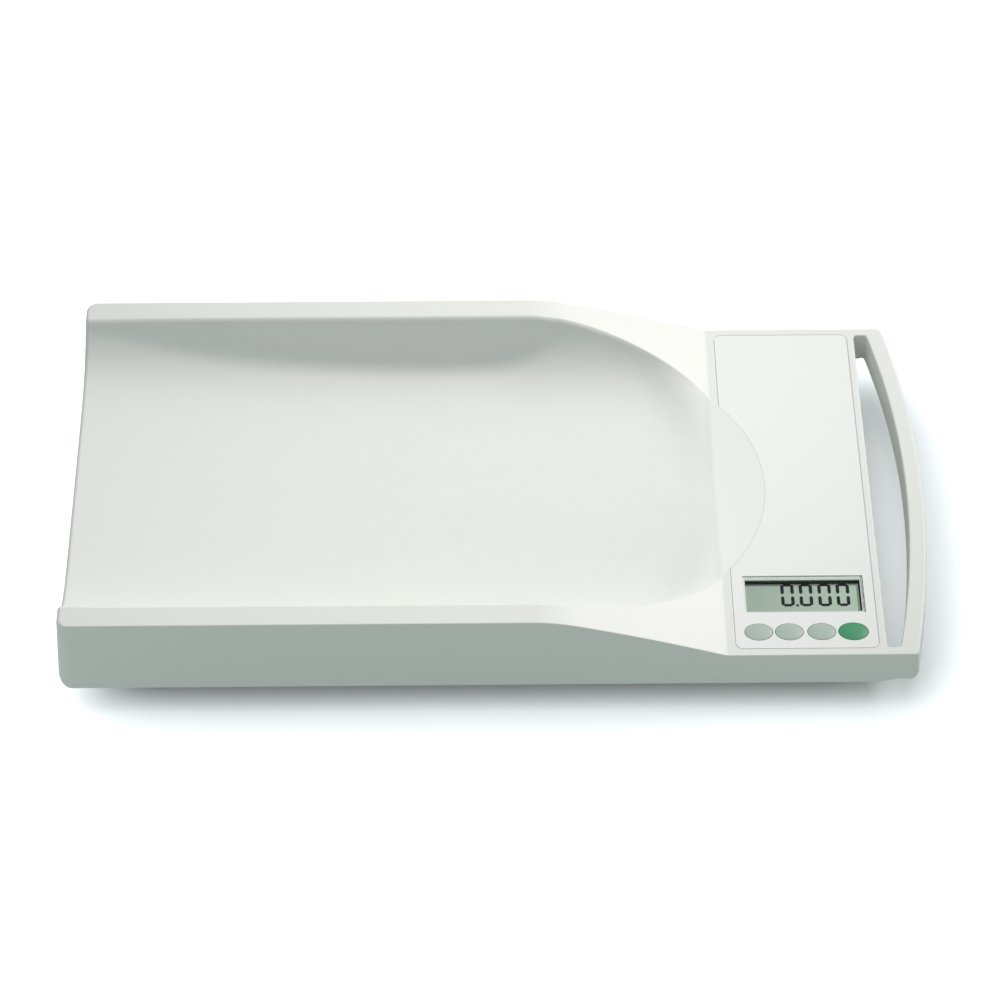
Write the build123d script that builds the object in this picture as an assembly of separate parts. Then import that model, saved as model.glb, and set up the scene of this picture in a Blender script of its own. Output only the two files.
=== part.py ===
"""Digital baby weighing scale: a cradle tray with a console and a carrying handle, on four load cells.

Millimetres, +Z up. The origin is on the table under the middle of the scale.
+X runs from the open end of the cradle to the handle, -Y is the side with the keys.
"""

from build123d import *
import math
import os

os.makedirs("parts", exist_ok=True)

# ---------------------------------------------------------------- driving dimensions
LENGTH = 599.2  # length and width are taken at the height of the rims
WIDTH = 320.0
HEIGHT = 86.0
DRAFT = 2.5  # degrees by which the outer walls lean out, downwards
SKIRT_Z = 26.0  # lower edge of the top cover
CONSOLE_Z = 53.0  # flat top of the console
WALL = 3.0

LEFT_X = -300.0
APEX_X = LEFT_X + LENGTH  # middle of the handle
CORNER_X = APEX_X - 16.3  # where the bowed handle meets the side walls
HALF_W = WIDTH / 2

# cradle
RIM_HALF = 141.6  # from the centre line to the inner edge of a rim
RIM_END_X = 36.0  # the rims are level up to here, then fall to the console
FOLD_X = 153.6  # the fold line where the shoulder meets the console
LOW_X = -40.0  # the lowest station of the cradle floor
LOW_Z = 42.0
END_Z = 54.5  # floor height at the open end
FOLD_FLOOR_Z = 48.0
FLOOR_POWER = 1.6  # how late the floor climbs towards the fold
DISH_X = 60.7  # centre of the round dish in which the cradle runs out on the console
DISH_R = 126.9
BLEND_X = 145.0  # from here to the fold the trough turns into the dish
ARC_MARGIN = 1.1  # flat strip between the dish and the overlay

# cross-section of the cradle: a floor that curves up to the rim or the shoulder; along the tray
# the curve ends in a steep straight wall, at the fold it is as shallow as the dish
BELLY = 32.0  # how far the floor's curve would climb along the tray on its way to the rim
CURVE_POWER = (7.0, 6.5, 2.0)  # along the tray, on the shoulder and at the fold
WALL_SLOPE = (2.06, 0.12)  # along the tray and at the fold
WALL_FOOT = (5.0, 0.5)  # height over which the wall turns into the floor
ROUND_X = (-10.0, 75.0)  # here the wall of the tray turns into the curve of the shoulder
SHALLOW_X = (112.0, 150.0)  # here that curve turns into the one at the fold
NARROWING = (1.85, 0.76)  # powers of the curve in which the shoulder narrows towards the fold

# outer edges
EDGE_R = 2.2
LOW_CORNER_R = 8.0  # lower left corner, seen from the side
PLAN_CORNER_R = (7.0, 4.0)  # at the open end and at the handle, seen from above

# handle
SLOT_X = 263.1
SLOT_HALF = 154.0
BAR_W = 12.1
BAR_UNDER_Z = 29.0
RISE_X = 250.0  # the lower edge starts to rise here
RISE_R = 75.0

# console furniture
OVERLAY_X = (160.2, 257.65)
OVERLAY_HALF = 154.75
OVERLAY_T = 0.8
GROOVE = 0.45
WINDOW_X = (167.8, 251.1)
WINDOW_Y = (-122.0, -87.5)
WINDOW_LAP = 1.4  # the cover reaches this far under the edge of the window
KEYS = {"hold": 176.3, "tare": 197.2, "units": 219.3, "start": 241.1}
KEY_SIZE = (19.0, 15.0)
START_KEY_SIZE = (20.3, 15.7)
KEY_Y = -139.9
KEY_RISE = 0.9
KEY_GAP = 0.35

# electronics
CONSOLE_UNDER_Z = CONSOLE_Z - WALL
BOARD_X = (160.5, 251.4)
BOARD_Y = (-150.5, -77.5)
BOARD_Z = (39.9, 41.5)
LCD_X = (167.8, 250.9)
LCD_Y = (-122.4, -87.1)
LCD_Z = (46.0, 48.8)
BOARD_POSTS = [(166.0, -81.5), (247.5, -81.5), (165.0, -127.7), (230.2, -127.7)]
BOARD_SCREW_R = 1.0
STRIP_Y = (LCD_Y[0] + 2.6, LCD_Y[1] - 2.6)  # middles of the two contact strips
CONNECTOR_X = (172.0, 186.0)
LEAD_Z = 37.0  # height at which the leads enter the connectors

# base
FLANGE_Z = (28.0, 30.5)
PAN_X = (-280.0, 245.0)
PAN_HALF = 142.0
PAN_Z = 11.0
PAN_T = 2.5
FLOOR_RIB_X = (-150.0, -30.0, 90.0)
FLOOR_RIB_Y = (-60.0, 60.0)
POST_X = (-272.0, -150.0, -20.0, 110.0, 255.0)
POST_Y = 150.0
HOUSING_SCREW_R = 1.4
PILOT = 0.05  # a pilot hole is this much wider than its screw, all round

# load cells and feet
FEET = {
    "front_left": (-252.0, -120.0),
    "front_right": (214.0, -120.0),
    "back_left": (-252.0, 120.0),
    "back_right": (214.0, 120.0),
}
POCKET = 39.0
CEILING_Z = 23.5
CELL = 34.0
CELL_Z = (14.1, 16.5)
CELL_SCREW_R = 1.0
CELL_SCREWS = [(x, y) for x in (-14.5, 14.5) for y in (-13.5, 13.5)]  # from the middle of a cell
BUSH_R = 4.5
STUD_R = 2.95
DISC_Z = (3.0, 6.5)
DISC_R = 11.5
PAD_R = 12.5
SPIGOT_Z = 1.2
SPIGOT_R = 4.0

# battery box
WELL_X = (179.0, 227.0)
WELL_Y = (-29.0, 81.0)
PAD_Z = 16.0
ROOF_Z = 29.5
CELL_AA_R = 7.2
CELL_AA_LENGTH = 50.3
DOOR_GAP = 0.4
DOOR_T = 2.2
DOOR_RIM = 3.0  # the recess of the door is this much larger than the well, all round
HINGE_Y = 86.5
HINGE_Z = PAN_Z + 1.15
PIN_R = 1.05
KNUCKLES = ((184.0, 190.0), (216.0, 222.0))


# ---------------------------------------------------------------- helpers
def box(x, y, z):
    """Block between two values on each axis."""
    size = (x[1] - x[0], y[1] - y[0], z[1] - z[0])
    middle = ((x[0] + x[1]) / 2, (y[0] + y[1]) / 2, (z[0] + z[1]) / 2)
    return Pos(*middle) * Box(*size)


def grown(span, by):
    """A span made longer at both ends."""
    return (span[0] - by, span[1] + by)


def post(x, y, z, radius):
    """Upright cylinder from z[0] to z[1]."""
    return Pos(x, y, (z[0] + z[1]) / 2) * Cylinder(radius, z[1] - z[0])


def rod_x(x, y, z, radius):
    """Cylinder along X from x[0] to x[1]."""
    return Pos((x[0] + x[1]) / 2, y, z) * Rot(0, 90, 0) * Cylinder(radius, x[1] - x[0])


def rod_y(x, y, z, radius):
    """Cylinder along Y from y[0] to y[1]."""
    return Pos(x, (y[0] + y[1]) / 2, z) * Rot(90, 0, 0) * Cylinder(radius, y[1] - y[0])


def prism(outline, z):
    """A flat outline raised from z[0] to z[1]."""
    return extrude(Pos(0, 0, z[0]) * outline, amount=z[1] - z[0])


def smooth(value):
    """Ease from 0 to 1."""
    value = min(1.0, max(0.0, value))
    return value * value * (3 - 2 * value)


def mix(a, b, share):
    """Value that lies the given share of the way from a to b."""
    return a + (b - a) * share


def rectangle(x, y):
    """Flat rectangle between two values on each axis."""
    return Pos((x[0] + x[1]) / 2, (y[0] + y[1]) / 2) * Rectangle(x[1] - x[0], y[1] - y[0])


def save(shape, name):
    """Write one piece."""
    export_step(shape, f"parts/{name}.step")


# ---------------------------------------------------------------- cradle surface
def floor_z(x):
    """Height of the cradle floor on the centre line."""
    if x < LOW_X:
        return mix(LOW_Z, END_Z, ((LOW_X - x) / (LOW_X - LEFT_X)) ** 2)
    return mix(LOW_Z, FOLD_FLOOR_Z, ((x - LOW_X) / (FOLD_X - LOW_X)) ** FLOOR_POWER)


def upper_of(a, b, blend):
    """The higher of two heights, with the corner between them rounded."""
    near = max(blend - abs(a - b), 0.0)
    return max(a, b) + near * near / (4 * blend)


def trough_z(x, y):
    """Height of the cradle between its open end and the fold."""
    share = min(1.0, max(0.0, (x - RIM_END_X) / (FOLD_X - RIM_END_X)))
    rounded = smooth((x - ROUND_X[0]) / (ROUND_X[1] - ROUND_X[0]))
    shallow = smooth((x - SHALLOW_X[0]) / (SHALLOW_X[1] - SHALLOW_X[0]))
    fold_half = math.sqrt(DISH_R**2 - (FOLD_X - DISH_X) ** 2)
    half = mix(fold_half, RIM_HALF, (1 - share ** NARROWING[0]) ** NARROWING[1])
    rim = mix(HEIGHT, CONSOLE_Z, share)
    low = floor_z(x)
    power = mix(mix(CURVE_POWER[0], CURVE_POWER[1], rounded), CURVE_POWER[2], shallow)
    belly = low + mix(BELLY, rim - low, rounded) * (abs(y) / half) ** power
    wall = rim - mix(*WALL_SLOPE, shallow) * (half - abs(y))
    return upper_of(belly, wall, mix(*WALL_FOOT, rounded))


def dish_z(x, y):
    """Height of the round dish; it reaches the console at DISH_R from its centre."""
    fold_share = ((FOLD_X - DISH_X) / DISH_R) ** 2
    depth = (CONSOLE_Z - FOLD_FLOOR_Z) / (1 - fold_share)
    return CONSOLE_Z - depth * (1 - ((x - DISH_X) ** 2 + y**2) / DISH_R**2)


def cradle_z(x, y):
    """Height of the cradle surface."""
    trough = trough_z(min(x, FOLD_X), y)
    return mix(trough, dish_z(x, y), smooth((x - BLEND_X) / (FOLD_X - BLEND_X)))


def cradle_point(x, y, depth):
    """Point of the cradle surface, moved down along its normal by depth."""
    step = 0.5
    slope_x = (cradle_z(x + step, y) - cradle_z(x - step, y)) / (2 * step)
    slope_y = (cradle_z(x, y + step) - cradle_z(x, y - step)) / (2 * step)
    normal = Vector(-slope_x, -slope_y, 1).normalized()
    return Vector(x, y, cradle_z(x, y)) - normal * depth


def cradle_cutter(depth):
    """Solid that fills the cradle and all above it, grown by depth."""
    start, spacing, count = LEFT_X - 12, 6.5, 80
    across, reach = 48, 1.05  # reach as a share of RIM_HALF
    height = 130  # clears the rims everywhere
    stations = [start + i * spacing for i in range(count)]
    shares = [-reach + 2 * reach * j / across for j in range(across + 1)]
    rows = [[cradle_point(x, RIM_HALF * s, depth) for s in shares] for x in stations]
    face = Face.make_surface_from_array_of_points(rows, tol=0.02)
    return Solid.extrude(face, (0, 0, height))


# ---------------------------------------------------------------- top cover
def lean(z):
    """How far the outer walls stand out at a height, against the height of the rims."""
    return (HEIGHT - z) * math.tan(math.radians(DRAFT))


def plan(inset):
    """Outline from above at the height of the rims: a rectangle with a bowed right end."""
    side = HALF_W - inset
    left = LEFT_X + inset
    corner = CORNER_X - inset
    sides = Polyline((corner, side), (left, side), (left, -side), (corner, -side))
    bow = ThreePointArc((corner, -side), (APEX_X - inset, 0), (corner, side))
    face = make_face([*sides.edges(), bow.edge()])
    face = fillet(face.vertices().group_by(Axis.X)[0], PLAN_CORNER_R[0] - inset)
    return fillet(face.vertices().group_by(Axis.X)[-1], PLAN_CORNER_R[1] - inset)


def drafted(inset, height):
    """Solid between the leaning outer walls, moved in by inset, from the table up."""
    return extrude(plan(inset - lean(0)), amount=height, taper=DRAFT)


def elevation():
    """Outline from the side, from the open end to the handle."""
    start, end = LEFT_X - 10, APEX_X + 10
    climb = BAR_UNDER_Z - SKIRT_Z
    run = math.sqrt(RISE_R**2 - (RISE_R - climb) ** 2)
    half = math.asin(run / RISE_R) / 2
    middle = (RISE_X + RISE_R * math.sin(half), SKIRT_Z + RISE_R * (1 - math.cos(half)))
    top = Polyline(
        (RISE_X, SKIRT_Z),
        (start, SKIRT_Z),
        (start, HEIGHT),
        (RIM_END_X, HEIGHT),
        (FOLD_X, CONSOLE_Z),
        (end, CONSOLE_Z),
        (end, BAR_UNDER_Z),
        (RISE_X + run, BAR_UNDER_Z),
    )
    rise = ThreePointArc((RISE_X + run, BAR_UNDER_Z), middle, (RISE_X, SKIRT_Z))
    return make_face([*top.edges(), rise.edge()])


def void_elevation():
    """Outline of the hollow under the top cover, one wall inside the outer one."""
    shift = WALL * math.tan(math.atan2(HEIGHT - CONSOLE_Z, FOLD_X - RIM_END_X) / 2)
    points = [
        (LEFT_X - 10, 0),
        (LEFT_X - 10, HEIGHT - WALL),
        (RIM_END_X - shift, HEIGHT - WALL),
        (FOLD_X - shift, CONSOLE_UNDER_Z),
        (SLOT_X - WALL, CONSOLE_UNDER_Z),
        (SLOT_X - WALL, 0),
    ]
    return make_face(Polyline(*points, close=True))


def side_prism(profile):
    """A side outline, pushed through the whole width."""
    return extrude(Plane.XZ * profile, amount=HALF_W + 10, both=True)


def slot_outline():
    """Hand slot: straight on the console side, bowed on the handle side."""
    reach, apex = (x + lean(CONSOLE_Z) - BAR_W for x in (CORNER_X, APEX_X))
    near, far = (reach, -SLOT_HALF), (reach, SLOT_HALF)
    straight = Polyline(far, (SLOT_X, SLOT_HALF), (SLOT_X, -SLOT_HALF), near)
    bow = ThreePointArc(near, (apex, 0), far)
    face = make_face([*straight.edges(), bow.edge()])
    return fillet(face.vertices(), 2.5)


def overlay_outline(inset):
    """Overlay: a rounded rectangle with an arc taken out round the dish."""
    middle = (OVERLAY_X[0] + OVERLAY_X[1]) / 2
    length = OVERLAY_X[1] - OVERLAY_X[0] - 2 * inset
    plate = Pos(middle, 0) * RectangleRounded(length, 2 * (OVERLAY_HALF - inset), 5 - inset)
    return plate - Pos(DISH_X, 0) * Circle(DISH_R + ARC_MARGIN + inset)


def key_outline(name, grow):
    """Oval of one key; the start key is a little larger."""
    length, depth = START_KEY_SIZE if name == "start" else KEY_SIZE
    return Pos(KEYS[name], KEY_Y) * Ellipse(length / 2 + grow, depth / 2 + grow)


def window_opening():
    """Opening in the cover under the display window."""
    return rectangle(grown(WINDOW_X, -WINDOW_LAP), grown(WINDOW_Y, -WINDOW_LAP))


def outer_top(edge):
    """True for the edges where the top meets the outer walls."""
    middle = edge @ 0.5
    outside = abs(middle.Y) > HALF_W - 5 or middle.X < LEFT_X + 5 or middle.X > CORNER_X - 5
    return edge.bounding_box().min.Z > CONSOLE_Z - 0.5 and outside


def low_corner():
    """What the rounding takes off the lower corner at the open end."""
    across = (-HALF_W - 5, HALF_W + 5)
    middle_z = SKIRT_Z + LOW_CORNER_R
    middle_x = LEFT_X - lean(middle_z) + LOW_CORNER_R
    block = box((LEFT_X - 10, middle_x), across, (SKIRT_Z - 1, middle_z))
    return block - rod_y(middle_x, grown(across, 1), middle_z, LOW_CORNER_R)


def cover_void():
    """Hollow of the top cover, less the bosses that stand in it."""
    void = drafted(WALL, HEIGHT) & side_prism(void_elevation())
    for x in POST_X:
        for y in (-POST_Y, POST_Y):
            void -= post(x, y, (FLANGE_Z[1], HEIGHT), 4)
    for x, y in BOARD_POSTS:
        void -= post(x, y, (BOARD_Z[1], HEIGHT), 2.9)
    return void - cradle_cutter(WALL)


def top_cover():
    """Tray, rims, shoulder, console and handle in one thin moulding, open below."""
    cover = drafted(0, HEIGHT + 1) & side_prism(elevation())
    cover = fillet(cover.edges().filter_by(outer_top), EDGE_R)
    cover -= low_corner()
    cover -= cradle_cutter(0)
    cover -= cover_void()
    for x in POST_X:
        for y in (-POST_Y, POST_Y):
            cover -= post(x, y, (FLANGE_Z[1] - 1, FLANGE_Z[1] + 16), HOUSING_SCREW_R + PILOT)
    for x, y in BOARD_POSTS:
        cover -= post(x, y, (BOARD_Z[1] - 1, BOARD_Z[1] + 6), BOARD_SCREW_R + PILOT)
    cover -= prism(slot_outline(), (0, HEIGHT))
    cover -= prism(overlay_outline(-GROOVE), (CONSOLE_Z - OVERLAY_T, CONSOLE_Z + 1))
    through = (BOARD_Z[1], CONSOLE_Z)
    cover -= prism(window_opening(), through)
    for name in KEYS:
        cover -= prism(key_outline(name, KEY_GAP), through)
    return cover


# ---------------------------------------------------------------- console
def keypad_overlay():
    """Thin plate let into the console, open over the display and round the keys."""
    plate = prism(overlay_outline(0), (CONSOLE_Z - OVERLAY_T, CONSOLE_Z))
    cut = (CONSOLE_Z - 2, CONSOLE_Z + 1)
    plate -= prism(rectangle(WINDOW_X, WINDOW_Y), cut)
    for name in KEYS:
        plate -= prism(key_outline(name, KEY_GAP), cut)
    return plate


def display_window():
    """Clear plate in the opening of the overlay."""
    gap = 0.15
    pane = rectangle(grown(WINDOW_X, -gap), grown(WINDOW_Y, -gap))
    return prism(pane, (CONSOLE_Z - OVERLAY_T, CONSOLE_Z))


def display_gasket():
    """Foam frame between the panel and the cover."""
    z = (LCD_Z[1], CONSOLE_UNDER_Z)
    return box(LCD_X, LCD_Y, z) - prism(window_opening(), grown(z, 1))


DIGIT_X = (198.5, 211.3, 224.2, 236.9)
DIGIT_Y = (-112.6, -91.6)  # foot and head of the digits
DIGIT_W = 9.2
POINT_X = 204.9
BAR_HALF = 1.15  # half the thickness of a bar


def segment(x, y, length, upright):
    """One bar of a digit, pointed at both ends."""
    half = length / 2 - 0.25
    points = [
        (-half, 0),
        (-half + BAR_HALF, BAR_HALF),
        (half - BAR_HALF, BAR_HALF),
        (half, 0),
        (half - BAR_HALF, -BAR_HALF),
        (-half + BAR_HALF, -BAR_HALF),
    ]
    if upright:
        points = [(b, a) for a, b in reversed(points)]
    bar = make_face(Polyline(*points, close=True))
    return prism(Pos(x, y) * bar, (LCD_Z[1], LCD_Z[1] + 0.1))


def lcd_segments():
    """Digits of the reading, 0.000, as thin raised bars."""
    foot, head = DIGIT_Y
    middle = (foot + head) / 2
    reach = DIGIT_W / 2 - BAR_HALF
    bars = []
    for x in DIGIT_X:
        for y in (head - BAR_HALF, foot + BAR_HALF):
            bars.append(segment(x, y, 2 * reach, False))
        for side in (-reach, reach):
            for y in ((head + middle) / 2, (foot + middle) / 2):
                bars.append(segment(x + side, y, head - middle - 1.4, True))
    point = Pos(POINT_X, foot + 0.9) * Rectangle(1.8, 1.8)
    bars.append(prism(point, (LCD_Z[1], LCD_Z[1] + 0.1)))
    return Compound(children=bars)


def lcd_holder():
    """Frame that holds the panel over the board and guides the contact strips."""
    frame = box(grown(LCD_X, 1.2), grown(LCD_Y, 1.3), (BOARD_Z[1], LCD_Z[0] + 1.3))
    frame -= box(grown(LCD_X, 0.1), grown(LCD_Y, 0.1), (LCD_Z[0], LCD_Z[1]))
    return frame - box(grown(LCD_X, -2.4), grown(LCD_Y, -1.4), (BOARD_Z[0], LCD_Z[1]))


def zebra_strips():
    """Contact strips pressed between the board and the two long edges of the panel."""
    x, z = grown(LCD_X, -3.4), (BOARD_Z[1], LCD_Z[0])
    return Compound(children=[box(x, (y - 1.1, y + 1.1), z) for y in STRIP_Y])


def main_board():
    """Circuit board with its four screw holes."""
    board = box(BOARD_X, BOARD_Y, BOARD_Z)
    for x, y in BOARD_POSTS:
        board -= post(x, y, grown(BOARD_Z, 1), 1.4)
    return board


def board_chips():
    """Processor, converter, crystal, regulator and two capacitors under the board."""
    under = BOARD_Z[0]
    chips = [
        box((216, 228), (-117, -105), (under - 1.4, under)),
        box((192, 202), (-122, -116), (under - 1.5, under)),
        box((206, 211), (-108, -97), (under - 3.5, under)),
        box((232, 238), (-100, -94), (under - 2.2, under)),
    ]
    chips += [post(x, -141, (under - 7, under), 3) for x in (176, 186)]
    return Compound(children=chips)


def board_connectors():
    """Socket for the four load cell leads, and the one for the battery leads."""
    under = BOARD_Z[0]
    cells = box(CONNECTOR_X, (-99.5, -85.5), (LEAD_Z - 3, under))
    power = box((195, 207), (-94, -84), (LEAD_Z - 2.5, under))
    return Compound(children=[cells, power])


def board_screws():
    """Slotted screws that hold the board to the bosses of the top cover."""
    under = BOARD_Z[0]
    screws = []
    for x, y in BOARD_POSTS:
        shank = post(x, y, (under, BOARD_Z[1] + 5), BOARD_SCREW_R)
        head = post(x, y, (under - 1.6, under), 2.3)
        head -= box((x - 1.6, x + 1.6), (y - 0.3, y + 0.3), (under - 2, under - 0.9))
        screws.append(shank + head)
    return Compound(children=screws)


SWITCH_TOP_Z = 44.6
PLUNGER_Z = (43.4, 46.0)
PLUNGER_R = 1.7


def key_cap(name):
    """Oval key with a rounded top, a flange that stops under the cover, and a stem."""
    cap = prism(key_outline(name, 0), (CONSOLE_UNDER_Z - 0.4, CONSOLE_Z + KEY_RISE))
    cap = fillet(cap.edges().group_by(Axis.Z)[-1], 1.0)
    width, depth = (20.6, 17.0) if name == "start" else (20.4, 16.8)
    flange = Pos(KEYS[name], KEY_Y) * Ellipse(width / 2, depth / 2)
    cap += prism(flange, (CONSOLE_UNDER_Z - 1.6, CONSOLE_UNDER_Z - 0.2))
    return cap + post(KEYS[name], KEY_Y, (PLUNGER_Z[1], CONSOLE_UNDER_Z - 1), 3)


def key_plunger(name):
    """Pin between a key and its switch."""
    return post(KEYS[name], KEY_Y, PLUNGER_Z, PLUNGER_R)


def key_switches():
    """Four switch housings on the board, each with a bore for its plunger."""
    half = 3.0
    bore_z = PLUNGER_Z[0] - 0.8  # room for the travel of the key
    housings = []
    for x in KEYS.values():
        body = box((x - half, x + half), (KEY_Y - half, KEY_Y + half), (BOARD_Z[1], SWITCH_TOP_Z))
        housings.append(body - post(x, KEY_Y, (bore_z, SWITCH_TOP_Z + 1), PLUNGER_R + 0.08))
    return Compound(children=housings)


# ---------------------------------------------------------------- base
def pan():
    """Sunk middle of the base, outside measures."""
    block = box(PAN_X, (-PAN_HALF, PAN_HALF), (PAN_Z, FLANGE_Z[1]))
    block = fillet(block.edges().filter_by(Axis.Z), 12)
    return fillet(block.edges().group_by(Axis.Z)[0], 4)


def pan_hollow():
    """Room inside the pan, less its ribs and the walls round the feet and the battery well."""
    hollow = box(grown(PAN_X, -PAN_T), (PAN_T - PAN_HALF, PAN_HALF - PAN_T), (PAN_Z + PAN_T, 40))
    hollow = fillet(hollow.edges().filter_by(Axis.Z), 9.5)
    hollow = fillet(hollow.edges().group_by(Axis.Z)[0], 3)
    rib_z = (0, PAN_Z + PAN_T + 6.5)
    for x in FLOOR_RIB_X:
        hollow -= box((x - 1, x + 1), (-PAN_HALF, PAN_HALF), rib_z)
    for y in FLOOR_RIB_Y:
        hollow -= box((-240, 148), (y - 1, y + 1), rib_z)
    outer = POCKET / 2 + PAN_T
    for x, y in FEET.values():
        hollow -= box((x - outer, x + outer), (y - outer, y + outer), (0, CEILING_Z + PAN_T))
    return hollow - box(grown(WELL_X, 7), (WELL_Y[0] - 7, WELL_Y[1] + 11), (0, PAD_Z))


def cell_ribs(x, y):
    """Two ribs under the ceiling of a foot pocket, drilled for the load cell's screws."""
    ribs = []
    for side in {dx for dx, dy in CELL_SCREWS}:
        rib_x = x + side
        rib = box((rib_x - 2.5, rib_x + 2.5), (y - 17, y + 17), (CELL_Z[1], CEILING_Z))
        for dx, dy in CELL_SCREWS:
            rib -= post(x + dx, y + dy, (CELL_Z[1] - 1, CELL_Z[1] + 5.5), CELL_SCREW_R + PILOT)
        ribs.append(rib)
    return ribs


def bottom_cover():
    """Recessed base: a flange inside the skirt round a sunk pan."""
    lip = WALL + 0.4
    out = lean(FLANGE_Z[1])
    flange_x = (LEFT_X - out + lip, SLOT_X - lip)
    middle, length = (flange_x[0] + flange_x[1]) / 2, flange_x[1] - flange_x[0]
    flange = Pos(middle, 0) * RectangleRounded(length, 2 * (HALF_W + out - lip), 7)
    base = prism(flange, FLANGE_Z) + pan() - pan_hollow()
    half = POCKET / 2
    for x, y in FEET.values():
        base -= box((x - half, x + half), (y - half, y + half), (PAN_Z - 1, CEILING_Z))
        for rib in cell_ribs(x, y):
            base += rib
        lead_y = y - math.copysign(14, y)
        base -= post(x, lead_y, (CEILING_Z - 1, CEILING_Z + PAN_T + 1), 1.5)
    for x in POST_X:
        for y in (-POST_Y, POST_Y):
            base -= post(x, y, grown(FLANGE_Z, 1), HOUSING_SCREW_R + 0.3)
    base -= box(WELL_X, WELL_Y, (PAN_Z - 1, PAD_Z + 1))
    recess_z = (PAN_Z - 1, PAN_Z + DOOR_T + 0.2)
    base -= box(grown(WELL_X, DOOR_RIM), grown(WELL_Y, DOOR_RIM), recess_z)
    for knuckle in KNUCKLES:
        room_y = (WELL_Y[1] + DOOR_RIM - 1, HINGE_Y + 3)
        base -= box(grown(knuckle, 0.5), room_y, (PAN_Z - 1, HINGE_Z + 2.65))
        base -= rod_x(grown(knuckle, 3), HINGE_Y, HINGE_Z, PIN_R)
    return base


def housing_screws():
    """Cross-headed screws from below into the bosses of the top cover."""
    under = FLANGE_Z[0]
    screws = []
    for x in POST_X:
        for y in (-POST_Y, POST_Y):
            shank = post(x, y, (under, FLANGE_Z[1] + 14), HOUSING_SCREW_R)
            head = post(x, y, (under - 1.6, under), 3.0)
            for turn in (0, 90):
                head -= Pos(x, y, under - 1.6) * Rot(0, 0, turn) * Box(3.6, 0.7, 1.6)
            screws.append(shank + head)
    return Compound(children=screws)


# ---------------------------------------------------------------- load cells and feet
def load_cell(x, y):
    """Steel plate whose middle tongue flexes inside its outer frame."""
    half = CELL / 2
    plate = box((x - half, x + half), (y - half, y + half), CELL_Z)
    plate = fillet(plate.edges().filter_by(Axis.Z), 2)
    cut = grown(CELL_Z, 1)
    ring = box((x - 11, x + 11), (y - 12, y + 12), cut)
    plate -= ring - box((x - 8.5, x + 8.5), (y - 13, y + 9.5), cut)
    plate -= post(x, y, cut, BUSH_R)
    for dx, dy in CELL_SCREWS:
        plate -= post(x + dx, y + dy, cut, 1.4)
    return plate


def strain_gauges():
    """Two strain gauges on each tongue."""
    top = CELL_Z[1]
    gauges = []
    for x, y in FEET.values():
        for middle in (x - 6.7, x + 6.7):
            gauges.append(box((middle - 1.5, middle + 1.5), (y - 8, y - 2), (top, top + 0.3)))
    return Compound(children=gauges)


def cell_screws():
    """Slotted screws that hold the load cells to their ribs."""
    under = CELL_Z[0]
    screws = []
    for x, y in FEET.values():
        for dx, dy in CELL_SCREWS:
            shank = post(x + dx, y + dy, (under, CELL_Z[1] + 4.5), CELL_SCREW_R)
            head = post(x + dx, y + dy, (under - 1.5, under), 2.2)
            head -= Pos(x + dx, y + dy, under - 1.5) * Box(3.0, 0.6, 1.2)
            screws.append(shank + head)
    return Compound(children=screws)


def foot_bush(x, y):
    """Threaded bush pressed into the tongue of a load cell."""
    under = CELL_Z[0]
    bush = post(x, y, (under, CEILING_Z - 0.9), BUSH_R) + post(x, y, (under - 1.5, under), 6)
    return bush - post(x, y, (under - 4, CEILING_Z), STUD_R + 0.06)


def foot_screw(x, y):
    """Levelling screw with a fluted disc to turn it by."""
    disc = post(x, y, DISC_Z, DISC_R)
    flutes, ring_r, flute_r = 16, DISC_R + 0.5, 1.2
    for i in range(flutes):
        angle = 2 * math.pi * i / flutes
        flute_x, flute_y = x + ring_r * math.cos(angle), y + ring_r * math.sin(angle)
        disc -= post(flute_x, flute_y, grown(DISC_Z, 1), flute_r)
    spigot = post(x, y, (SPIGOT_Z, DISC_Z[0]), SPIGOT_R)
    return disc + spigot + post(x, y, (DISC_Z[1], CEILING_Z - 1.3), STUD_R)


def foot_pad(x, y):
    """Soft round pad under the disc."""
    pad = post(x, y, (0, DISC_Z[0]), PAD_R)
    pad = fillet(pad.edges().group_by(Axis.Z)[-1], 0.8)
    return pad - post(x, y, (SPIGOT_Z, DISC_Z[0] + 1), SPIGOT_R)


def tube(points, bends, radius):
    """Round lead along straight runs joined by arcs."""
    path = FilletPolyline(*points, radius=bends)
    start = Plane(origin=path @ 0, z_dir=path % 0)
    return sweep(start * Circle(radius), path=path)


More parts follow.
